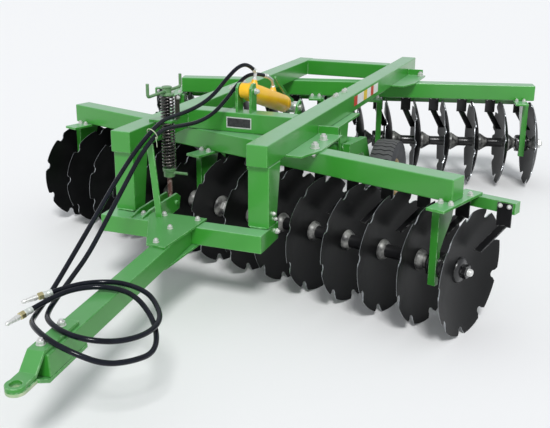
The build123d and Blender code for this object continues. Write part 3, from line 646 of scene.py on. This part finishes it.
def makeJournal():
    left = spoolRoom / 2 - spoolShape["journalHalf"]
    right = spoolRoom / 2 + spoolShape["journalHalf"]
    journal, bell = spoolShape["journal"], spoolShape["bell"]
    profile = flangeRings + [
        (0.035, 0.040), (left - 0.004, 0.039), (left, 0.038), (left + 0.001, journal), (right - 0.001, journal),
        (right, 0.038), (right + 0.010, 0.042), (spoolRoom - 0.018, 0.064), (spoolRoom - 0.012, bell),
        (spoolRoom - 0.002, bell), (spoolRoom, 0.068)]
    return settle(turnedPiece("journal", profile, 40), onSide)


def makeAxleEnd(bossLook, nutLook):
    start = axleEnd["washerThick"]
    thick = axleEnd["nutThick"]
    washer = turnedPiece("boss", rings(0, axleEnd["washer"], (0, 1), (0.003, 1.02), (0.008, 1), (0.013, 0.93),
                                       (0.017, 0.82), (0.020, 0.68), (start, 0.5)), 48)
    steps = ((0, 0.92), (0.003, 1), (thick - 0.003, 1), (thick, 0.92))
    nut = turnedPiece("nut", rings(start, axleEnd["nut"], *steps), 6)
    bevelEdges(nut, 0.001)
    turns = []
    height = start + thick
    while height < axleEnd["out"] - 0.004:  # a coarse thread, ring by ring
        turns += [(height, axleEnd["thread"]), (height + axleEnd["pitch"] / 2, axleEnd["thread"] * 0.93)]
        height += axleEnd["pitch"]
    thread = turnedPiece("thread", turns + [(axleEnd["out"], axleEnd["thread"] * 0.8)], 24)
    pieces = [painted(washer, bossLook), painted(nut, nutLook), painted(thread, "zinc")]
    return settle(joined(pieces, "axleEnd"), onSide)


def makeAxle(name, spool, journal, end, blackEnd):
    place = firstDisc(name)
    plate = spoolShape["plate"]
    last = discShape["count"] - 1
    row = []
    for gap in range(last):
        model = journal if gap in (0, last - 1) else spool
        row.append(copied(model, place @ Matrix.Translation((gap * discShape["spacing"] + plate, 0, 0))))
    far = Matrix.Translation((last * discShape["spacing"] + plate, 0, 0))
    row.append(copied(blackEnd if name.endswith("right") else end, place @ far))
    near = Matrix.Rotation(math.radians(180), 4, "Z") @ Matrix.Scale(axleEnd["nearShare"], 4, (1, 0, 0))
    row.append(copied(end, place @ near))
    ridden(row, "spools_" + name, "gang_" + name, "spool_iron", "axle_" + name)


spoolModel = makeSpool()
journalModel = makeJournal()
for model in (spoolModel, journalModel):
    painted(model, "castIron")
    recoloured(model, "blackPaint", lambda spot: spot.y ** 2 + spot.z ** 2 < 0.0385 ** 2)
endModel = makeAxleEnd("castIron", "zinc")
blackEndModel = makeAxleEnd("blackPaint", "blackPaint")
for name in gangs:
    makeAxle(name, spoolModel, journalModel, endModel, blackEndModel)
for model in (spoolModel, journalModel, endModel, blackEndModel):
    gone(model)
print("spools made")


# frame tubes and plates
rounding = {  # how far the edges of each node are rounded
    "beam_left": 0.007, "beam_right": 0.007, "cross_front": 0.007, "cross_rear": 0.007, "gang_beam_front": 0.007,
    "gang_beam_rear": 0.007, "draft_bar": 0.006, "tongue": 0.006, "posts": 0.006, "clamp_plates": 0.002,
    "hitch_plates": 0.002, "hangers_front": 0.003, "hangers_rear": 0.003, "scrapers_front": 0.0015,
    "scrapers_rear": 0.0015, "screw_levers": 0.002, "screw_bracket": 0.002, "ram_lugs": 0.002, "hose_stand": 0.0015,
    "hinge_brackets": 0.002, "hitch_eye": 0.003, "stop_strap": 0.002, "wheel_frame": 0.003,
}
otherLook = {"tongue": "tongueGreen", "hitch_plates": "tongueGreen", "hitch_eye": "tongueGreen",
             "scrapers_front": "blackPaint", "scrapers_rear": "blackPaint"}  # the rest are greenPaint
housingRadius = 0.074
railLong = 0.6
hingePipe = {"inner": 0.035, "outer": 0.0386, "room": 0.03}
slotOf = {entry["node"]: entry["material_slot"] for entry in frame["record"]["subparts"]}
bodyOf = {node: body for body, members in frame["record"]["behaviour"]["bodies"].items() for node in members}
for node, width in rounding.items():
    made = softened(node, width, node + "_made")
    piece = dressed(made, otherLook.get(node, "greenPaint"), bodyOf[node], slotOf[node], node)
    if node.startswith("hangers"):  # the bearing housings are black
        place = gangPlace(node.split("_")[1] + "_left").inverted()
        recoloured(piece, "blackPaint", lambda centre: (place @ centre).yz.length < housingRadius)
    if node.startswith("scrapers"):  # the rail is painted with the frame, its brackets and blades are black
        parts = sorted(looseParts(piece), key=lambda part: -part.dimensions.x)
        for part in parts:
            part.data.materials.clear()
            painted(part, "greenPaint" if part.dimensions.x > railLong else "blackPaint")
        ridden(parts, node + "_made", bodyOf[node], slotOf[node], node)
    if node == "wheel_frame":  # its hinge pipe turns with a little room in the brackets
        pivot = Vector(joints["wheel_lift"]["pos_m"])
        for vertex in piece.data.vertices:
            away = vertex.co - pivot
            if hingePipe["inner"] < math.hypot(away.y, away.z) < hingePipe["outer"]:
                vertex.co.y -= away.y * hingePipe["room"]
                vertex.co.z -= away.z * hingePipe["room"]
    if node == "hitch_eye":  # the lower plate is rubbed nearly bare round the eye
        recoloured(piece, "bareGreen", lambda centre: centre.y < at(0, -1.60, 0).y and centre.z < 0.348)
print("frame softened")

# bolts, each set on the surface that lies under it
boltSizes = {"huge": 0.0135, "large": 0.0098, "medium": 0.0082, "small": 0.006}  # half the shank
boltTurn = 0.3


def makeBolt(size):
    shank = boltSizes[size]
    low = shank * 0.34
    washer = turnedPiece("washer", [(0, shank * 1.9), (shank * 0.08, shank * 2), (shank * 0.28, shank * 2),
                                    (low, shank * 1.9)], 24)
    nut = turnedPiece("nut", [(low, shank * 1.66), (low + shank * 0.12, shank * 1.78),
                              (low + shank * 1.4, shank * 1.78), (low + shank * 1.55, shank * 1.6)], 6)
    bevelEdges(nut, shank * 0.06, 1)
    turns = [(low + shank * 1.5, shank)]
    while turns[-1][0] < shank * 2.5:  # the thread that stands past the nut
        turns += [(turns[-1][0] + shank * 0.1, shank * 0.9), (turns[-1][0] + shank * 0.2, shank)]
    stub = turnedPiece("stub", turns + [(shank * 2.75, shank * 0.7)], 16)
    whole = joined([washer, nut, stub], "bolt_" + size)
    whole.data.materials.clear()
    return painted(whole, "zinc")


seats = {}


def seatOf(node):
    if node not in seats:
        piece = nodes[node]
        points = [piece.matrix_world @ vertex.co for vertex in piece.data.vertices]
        seats[node] = BVHTree.FromPolygons(points, [polygon.vertices[:] for polygon in piece.data.polygons])
    return seats[node]


def boltOn(size, node, start, way):
    # looks along way from start for the node's face, and sets a bolt on it
    way = Vector(way).normalized()
    spot, normal, _, _ = seatOf(node).ray_cast(start, way)
    if spot is None:
        print("no face for a bolt on", node, tuple(round(value, 3) for value in start))
        return None
    return copied(boltModels[size], aimed(spot, normal, boltTurn))


boltModels = {size: makeBolt(size) for size in boltSizes}
down = -up

clampBolts = {"edge": 0.460, "gangs": ((0.667, -17.6, ((0.099, -0.059), (0.080, 0.148))),
                                       (2.745, 15.3, ((0.150, 0.150), (0.112, 0.262))))}
drawBolts = {"tongue": ((0.112, -1.468), (0.094, -1.306)),
             "plate": ((0.004, -0.363), (-0.021, -0.166), (-0.145, 0.004), (0.059, -0.002)),
             "bar": ((-0.276, 0.004),)}
beamBolts = {"across": 0.372, "along": (1.405, 1.445, 1.600, 1.640)}
postBolts = ((0.086, 0.535), (0.110, 0.499))
barBolts = ((0.141, 0.419),)
underBolt = (0.567, 0.422, 0.2)


def makeFrameBolts():
    row = []

    def put(size, node, x, y, z=2, way=down):
        row.append(boltOn(size, node, at(x, y, z), way))

    for side in (-1, 1):
        for y, turn, spots in clampBolts["gangs"]:
            edge = side * clampBolts["edge"]
            cross = y + math.tan(math.radians(turn)) * edge
            for out, back in spots:
                put("huge", "clamp_plates", edge + side * out, cross + back)
        for y in beamBolts["along"]:
            put("medium", "beam_left" if side < 0 else "beam_right", side * beamBolts["across"], y)
        for size, node, spots in (("small", "posts", postBolts), ("medium", "draft_bar", barBolts)):
            for y, z in spots:
                put(size, node, side * 2, y, z, (-side, 0, 0))
        put("large", "clamp_plates", side * underBolt[0], *underBolt[1:], up)
    for x, y in drawBolts["tongue"]:
        put("large", "hitch_eye", x, y)
        put("large", "hitch_eye", x, y, -1, up)
    for node, key in (("hitch_plates", "plate"), ("draft_bar", "bar")):
        for x, y in drawBolts[key]:
            put("medium", node, x, y)
    return row


hangerBolts = {"firsts": {"front": ((-1.497, 1), (0.132, 1)), "rear": ((-1.410, -1), (0.210, -1))},
               "shift": 0.045, "apart": 0.028, "reach": (-0.090, 0.118)}
scraperBolts = {"side": 0.125, "apart": 0.024, "high": 0.643, "from": 0.05}


def alongGang(kind, x, y, z):
    # x along the gang from the machine's middle line, y behind its beam's middle, z above the ground
    start = at(0, clampBolts["gangs"][0 if kind == "front" else 1][0], 0)
    return start + gangPlace(kind + "_left").to_3x3() @ Vector((x, y, z))


def makeGangBolts(kind):
    row = []
    spacing = discShape["spacing"]
    back = gangPlace(kind + "_left").col[1].xyz
    for first, side in hangerBolts["firsts"][kind]:
        for gap in (0, discShape["count"] - 2):
            middle = first + (gap + 0.5) * spacing + side * (0.003 + hangerBolts["shift"])
            for x in (-hangerBolts["apart"], hangerBolts["apart"]):
                for y in hangerBolts["reach"]:
                    spot = alongGang(kind, middle + x, y, 0.9)
                    row.append(boltOn("medium", "hangers_" + kind, spot, down))
        for index in range(discShape["count"]):
            middle = first + index * spacing + side * scraperBolts["side"]
            for x in (-scraperBolts["apart"], scraperBolts["apart"]):
                spot = alongGang(kind, middle + x, scraperBolts["from"], scraperBolts["high"])
                row.append(boltOn("small", "scrapers_" + kind, spot, back))
    return row


ridden(makeFrameBolts(), "frameBolts", "frame", "zinc_steel")
for kind in ("front", "rear"):
    ridden(makeGangBolts(kind), "gangBolts_" + kind, "frame", "zinc_steel")
print("bolts made")


# bearing housings at the hangers
bearingShape = {"radius": 0.067, "half": 0.046, "bolts": 4, "boltCircle": 0.049, "behind": -0.030, "height": 0.330}


def makeBearings(kind):
    row = []
    half = bearingShape["half"]
    side = [(half + 0.002, 0.038), (half + 0.002, 0.056), (half - 0.002, 0.060), (half - 0.010, 0.061),
            (half - 0.012, bearingShape["radius"])]
    profile = [(-height, radius) for height, radius in side] + side[::-1]
    axis = gangPlace(kind + "_left").col[0].xyz
    for first, way in hangerBolts["firsts"][kind]:
        for gap in (0, discShape["count"] - 2):
            along = first + (gap + 0.5) * discShape["spacing"] + way * 0.003
            middle = alongGang(kind, along, bearingShape["behind"], bearingShape["height"])
            shell = painted(turnedPiece("housing", profile, 40), "blackPaint")
            pieces = [settle(shell, aimed(middle, axis))]
            out = Matrix.Translation((bearingShape["boltCircle"], 0, half + 0.001))
            for turn in around(bearingShape["bolts"], math.radians(45)):
                pieces.append(copied(boltModels["small"], aimed(middle, axis) @ turn @ out))
            row.append(joined(pieces, "bearing"))
    return row


for kind in ("front", "rear"):
    ridden(makeBearings(kind), "bearings_" + kind, "frame", "black_paint")
print("bearings made")


# levelling screw with its springs and crank
screwShape = {"x": -0.278, "y": 0.320, "radius": 0.0145, "foot": 0.430, "top": 1.095, "coil": 0.0360, "wire": 0.0052,
              "nutLow": 0.596, "nutHigh": 0.648, "hubLow": 1.070, "hubHigh": 1.122, "pitch": 0.006, "steps": 28}
springRuns = ((0.934, 1.070, 7), (0.648, 0.920, 14))
stopPlate = {"size": (0.005, 0.052, 0.140), "middle": (0.052, 0.020, 1.003), "bolt": (0.0545, 0.020, 1.058)}
crankPoints = ((0, -0.216, 1.168), (0, -0.216, 1.095), (0, 0.163, 1.095), (0, 0.163, 1.168))


def bentBar(name, points, radius, bend, sides=4):
    # a bar bent along a line of points: corners rounded as vertices, then given its thickness
    deselect()
    mesh = bpy.data.meshes.new(name)
    mesh.from_pydata([tuple(point) for point in points], [(index, index + 1) for index in range(len(points) - 1)], [])
    bar = linked(name, mesh)
    editing(bar)
    bpy.ops.mesh.bevel(affect="VERTICES", offset=bend, segments=6)
    editDone(outward=False)
    bpy.ops.object.convert(target="CURVE")
    bar.data.bevel_depth = radius
    bar.data.bevel_resolution = sides
    bar.data.use_fill_caps = True
    bpy.ops.object.convert(target="MESH")
    bar = bpy.context.object
    editing(bar)
    editDone()
    return smooth(bar, 40)


def makeSpring(low, high, turns):
    wire = screwShape["wire"]
    deselect()
    bpy.ops.mesh.primitive_circle_add(vertices=10, radius=wire, rotation=(math.radians(90), 0, 0),
                                      location=(screwShape["coil"], 0, low + wire))
    coil = bpy.context.object
    settle(coil)
    wound = coil.modifiers.new("wound", "SCREW")
    wound.axis = "Z"
    wound.angle = math.radians(360)
    wound.iterations = turns
    wound.screw_offset = (high - low - 2 * wire) / turns
    wound.steps = wound.render_steps = screwShape["steps"]
    wound.use_smooth_shade = True
    applyAll(coil)
    editing(coil)
    bpy.ops.mesh.remove_doubles(threshold=0.00001)
    bpy.ops.mesh.fill_holes(sides=12)
    editDone()
    return coil


def makeScrew():
    centre = Matrix.Translation(at(screwShape["x"], screwShape["y"], 0))
    radius, pitch = screwShape["radius"], screwShape["pitch"]
    turns = rings(screwShape["foot"], radius, (0, 0.8), (0.004, 1))
    while turns[-1][0] < screwShape["nutLow"] + 0.01:
        turns += rings(turns[-1][0], radius, (pitch / 2, 0.86), (pitch, 1))
    turns += [(screwShape["nutHigh"], radius), (screwShape["top"], radius)]
    rod = painted(turnedPiece("rod", turns, 24), "rustySteel")
    # the rod above the nut, inside the springs, is painted black as a painted shade
    recoloured(rod, "blackPaint", lambda spot: spot.z > screwShape["nutHigh"])
    low, high = screwShape["nutLow"], screwShape["nutHigh"]
    nut = turnedPiece("screwNut", [(low, 0.030), (low + 0.003, 0.033), (low + 0.030, 0.034), (low + 0.034, 0.038),
                                   (high - 0.002, 0.039), (high, 0.036)], 32)
    low, high = screwShape["hubLow"], screwShape["hubHigh"]
    hub = turnedPiece("hub", [(low, 0.038), (low + 0.003, 0.040), (low + 0.010, 0.040), (low + 0.014, 0.026),
                              (high - 0.012, 0.025), (high - 0.008, 0.029), (high - 0.002, 0.029), (high, 0.024)], 32)
    lever = bentBar("nutLever", [(0, 0, 0.622), (0.115, 0, 0.622)], 0.0085, 0.002)
    crank = bentBar("crank", crankPoints, 0.0088, 0.016)
    green = [painted(piece, "dullGreen") for piece in (nut, hub, lever, crank)]
    carried(settle(joined([rod] + green, "screwAndCrank"), centre), "frame", "screw_steel", "screw")
    coils = joined([settle(makeSpring(*run), centre) for run in springRuns], "coilSprings")
    dressed(coils, "springSteel", "frame", "black_paint", "springs")
    stop = block("stopPlate", stopPlate["size"], centre @ Matrix.Translation(stopPlate["middle"]), 0.001)
    cap = copied(boltModels["small"], centre @ aimed(stopPlate["bolt"], (1, 0, 0)))
    ridden([painted(stop, "dullBlack"), cap], "screwStop", "frame", "black_paint")


makeScrew()
print("screw and springs made")


# lift cylinder
ramShape = {"radius": 0.058, "base": 0.062, "long": 0.650, "eye": 0.045, "eyeHalf": 0.0355, "fitting": 0.0105,
            "ports": {"hose_1": (0.104, None), "hose_2": (0.430, (0.027, 1.162, 1.046))}}  # reach, knuckle


def makeRam():
    along = Vector(joints["ram_slide"]["axis"]).normalized()
    across = Vector((1, 0, 0))
    place = framed(joints["ram_swing"]["pos_m"], across, along, across.cross(along))
    radius, long = ramShape["radius"], ramShape["long"]
    tube = turnedPiece("tube", [(0.034, 0.034), (0.040, 0.044), (0.050, 0.053), (ramShape["base"], radius),
                                (0.585, radius), (0.588, radius - 0.002), (0.594, radius - 0.002), (0.597, radius),
                                (0.642, radius), (0.648, radius - 0.005), (long, radius - 0.008), (long, 0.034),
                                (long - 0.004, 0.0275)], 56)
    settle(tube, place @ Matrix.Rotation(math.radians(-90), 4, "X"))
    half = ramShape["eyeHalf"]
    eye = turnedPiece("eye", [(-half, 0.038), (-half + 0.006, ramShape["eye"]), (half - 0.006, ramShape["eye"]),
                              (half, 0.038)], 40)
    yellow = [tube, settle(eye, place @ onSide)]
    silver = []
    for hose, (reach, knuckle) in ramShape["ports"].items():
        boss = turnedPiece("boss", [(0.040, 0.024), (0.062, 0.022), (0.070, 0.017), (0.078, 0.0165)], 28)
        yellow.append(settle(boss, place @ Matrix.Translation((0, reach, 0))))
        foot = place @ Vector((0, reach, 0.076))
        end, after = (at(*point) for point in hoseRoutes[hose][:2])
        before = end - (after - end).normalized() * 0.020
        path = [foot] + ([at(*knuckle)] if knuckle else []) + [before, end]
        silver.append(bentBar("pipe", path, ramShape["fitting"], 0.012))
        base = turnedPiece("collar", [(0, 0.013), (0.002, 0.0155), (0.014, 0.0155), (0.016, 0.013)], 6)
        bevelEdges(base, 0.0008, 1)
        silver.append(settle(base, aimed(foot, path[1] - foot)))
        sleeve = turnedPiece("sleeve", [(-0.024, 0.0125), (-0.022, 0.0145), (-0.012, 0.0145), (-0.011, 0.0128),
                                        (0.0, 0.0128), (0.001, 0.0138), (0.016, 0.0138), (0.018, 0.0118)], 28)
        silver.append(settle(sleeve, aimed(end, end - before)))
    pieces = [painted(piece, "yellowPaint") for piece in yellow] + [painted(piece, "zinc") for piece in silver]
    ridden(pieces, "liftCylinder", "ram_barrel", "yellow_paint", "ram_barrel")
    ends = [boltOn("large", "ram_lugs", place @ Vector((side * 0.2, 0.003, 0)), (-side, 0, 0)) for side in (-1, 1)]
    ridden(ends, "pinBolts", "frame", "zinc_steel")


makeRam()
print("cylinder made")


# tyres and rims
tyreShape = {"radius": 0.292, "half": 0.0875, "rim": 0.160, "lugs": 44, "lug": (0.150, 0.033, 0.009),
             "zigzag": 0.0045, "tread": 0.009, "sunk": 0.0055, "shoulderDrop": 0.007}
wheelBolts = {"count": 6, "spot": (0.088, 0, 0.0085)}


def makeTyre():
    half, rim = tyreShape["half"], tyreShape["rim"]
    top = tyreShape["radius"] - tyreShape["tread"]
    wall = [(0.62 * half, rim), (0.70 * half, rim + 0.012), (0.9 * half, rim + 0.034), (0.985 * half, rim + 0.058),
            (0.985 * half, rim + 0.074), (0.93 * half, rim + 0.098), (0.80 * half, top - 0.004), (0.70 * half, top)]
    tyre = turnedPiece("tyre", [(-height, radius) for height, radius in wall] + wall[::-1], 88, True)
    long = tyreShape["lug"][0]
    lug = plainBlock("lug", tyreShape["lug"])
    bpy.ops.object.mode_set(mode="EDIT")
    for cut in (-0.3, -0.1, 0.1, 0.3):
        bpy.ops.mesh.select_all(action="SELECT")
        bpy.ops.mesh.bisect(plane_co=(cut * long, 0, 0), plane_no=(1, 0, 0))
    editDone(outward=False)
    for vertex in lug.data.vertices:  # a zigzag bar that drops at its ends with the shoulders
        step = round(vertex.co.x / long * 10)
        vertex.co.y += tyreShape["zigzag"] * (1 if step in (-5, -1, 3) else -1)
        if abs(step) == 5:
            vertex.co.z -= tyreShape["shoulderDrop"]
    bevelEdges(lug, 0.0012, 1)
    out = Matrix.Translation((tyreShape["radius"] - tyreShape["sunk"], 0, 0))
    lugs = [copied(lug, turn @ out @ onSide) for turn in around(tyreShape["lugs"])]
    gone(lug)
    return joined([tyre] + lugs, "tyreModel")


def makeRim():
    half = 0.62 * tyreShape["half"]
    rim = tyreShape["rim"]
    dish = turnedPiece("dish", [(-half, 0.110), (-half, rim - 0.003), (-half + 0.003, rim), (half - 0.003, rim),
                                (half + 0.004, rim + 0.004), (half + 0.005, rim), (half, rim - 0.008),
                                (0.034, rim - 0.012), (0.016, rim - 0.026), (0.009, rim - 0.050), (0.008, 0.070),
                                (0.010, 0.060), (0.040, 0.055), (0.060, 0.050), (0.066, 0.043), (0.066, 0.020)], 64)
    out = Matrix.Translation(wheelBolts["spot"])
    bolts = [copied(boltModels["medium"], turn @ out) for turn in around(wheelBolts["count"])]
    return joined([painted(dish, "rimPaint")] + bolts, "rimModel")


tyreModel = makeTyre()
rimModel = makeRim()
for side, name in ((-1, "left"), (1, "right")):
    place = aimed(Vector(joints["wheel_" + name + "_turn"]["pos_m"]), (side, 0, 0))
    dressed(copied(tyreModel, place), "tyreRubber", "wheel_" + name, "tyre_rubber", "tyre_" + name)
    carried(copied(rimModel, place), "wheel_" + name, "yellow_paint", "rim_" + name)
gone(tyreModel)
gone(rimModel)
print("wheels made")


# weld beads where tubes and plates meet
def weldBead(points, radius=0.0045):
    # a thin bar whose surface is thrown up in small waves
    bead = bentBar("bead", points, radius, 0.001, 2)
    editing(bead)
    bpy.ops.mesh.subdivide(number_cuts=14)
    editDone(outward=False)
    waves = bead.modifiers.new("waves", "DISPLACE")
    texture = bpy.data.textures.new("beads", "CLOUDS")
    texture.noise_scale = 0.012
    waves.texture = texture
    waves.texture_coords = "LOCAL"
    waves.strength = 0.005
    applyAll(bead)
    return painted(bead, "greenPaint")


def makeWelds():
    beads = []
    for node in ("cross_front", "cross_rear"):
        low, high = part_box(node)
        for x in (low.x, high.x):
            beads.append(weldBead([(x, low.y, low.z + 0.004), (x, low.y, high.z - 0.004)]))
    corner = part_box("posts")[0]
    for node in ("beam_left", "beam_right"):
        low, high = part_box(node)
        for height in (corner.z + 0.002, low.z - 0.002):
            beads.append(weldBead([(low.x + 0.012, corner.y, height), (high.x - 0.012, corner.y, height)]))
    ridden(beads, "weldBeads", "frame", "green_paint")


makeWelds()
print("weld beads made")


# blank plates, the tie round the hoses
plateShape = {"data": ((-0.083, 0.080), (0.826, 0.893)), "strip": ((1.560, 2.180), (0.836, 0.902)), "thick": 0.0012}
plateLayers = ((0.0, 0.5, "paleAluminium"), (0.014, 1.1, "platePrint"))
stripBands = ((0.0, 0.13, "redPrint"), (0.13, 0.38, "whitePlastic"), (0.38, 0.52, "yellowPrint"),
              (0.52, 0.68, "whitePlastic"), (0.68, 0.8, "redPrint"), (0.8, 1.0, "whitePlastic"))
tieShape = {"loop": 0.026, "wire": 0.0017, "middle": (-0.173, -0.047, 0.934), "head": (-0.148, -0.052, 0.918),
            "tail": ((-0.150, -0.052, 0.915), (-0.142, -0.058, 0.893), (-0.137, -0.066, 0.872))}


def thinPanel(size, middle, look, width):
    return painted(block("panel", size, Matrix.Translation(middle), width), look)


def makePlates():
    thick = plateShape["thick"]
    (x0, x1), (z0, z1) = plateShape["data"]
    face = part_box("cross_front")[0].y
    middle = at((x0 + x1) / 2, 0, (z0 + z1) / 2)
    pieces = []
    for inside, depth, look in plateLayers:
        middle.y = face - thick * depth
        pieces.append(thinPanel((x1 - x0 - inside, thick, z1 - z0 - inside), middle, look, 0.0004))
    for x in (x0 + 0.006, x1 - 0.006):
        for z in (z0 + 0.006, z1 - 0.006):
            rivet = turnedPiece("rivet", [(0, 0.0028), (0.0008, 0.0026), (0.0014, 0.0014)], 12)
            spot = at(x, 0, z)
            spot.y = face - thick
            pieces.append(settle(painted(rivet, "zinc"), aimed(spot, (0, -1, 0))))
    ridden(pieces, "blankPlate", "frame", "zinc_steel")
    (y0, y1), (z0, z1) = plateShape["strip"]
    bands = []
    for low, high, look in stripBands:
        middle = at(0, y0 + (y1 - y0) * (low + high) / 2, (z0 + z1) / 2)
        middle.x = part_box("beam_right")[1].x + 0.0003
        bands.append(thinPanel((0.0006, (y1 - y0) * (high - low), z1 - z0), middle, look, 0.0001))
    ridden(bands, "blankStrip", "frame", "green_paint")


def makeTie():
    deselect()
    wire = tieShape["wire"]
    bpy.ops.mesh.primitive_torus_add(major_radius=tieShape["loop"], minor_radius=wire, major_segments=40,
                                     minor_segments=8)
    loop = bpy.context.object
    loop.scale = (1.0, 1.35, 1.6)
    settle(settle(loop), aimed(at(*tieShape["middle"]), (-0.15, -1.0, -0.45), 0.5))
    tail = bentBar("tail", [at(*point) for point in tieShape["tail"]], wire, 0.005)
    head = block("head", (0.009, 0.006, 0.008), Matrix.Translation(at(*tieShape["head"])), 0.001)
    pieces = [painted(piece, "bareGreen") for piece in (loop, tail, head)]
    smooth(loop)
    ridden(pieces, "hoseTie", "frame", "zinc_steel")


makePlates()
makeTie()
for model in boltModels.values():
    gone(model)
nodes["ram_rod"].data.materials.clear()
painted(nodes["ram_rod"], "zinc")
print("plates and tie made")
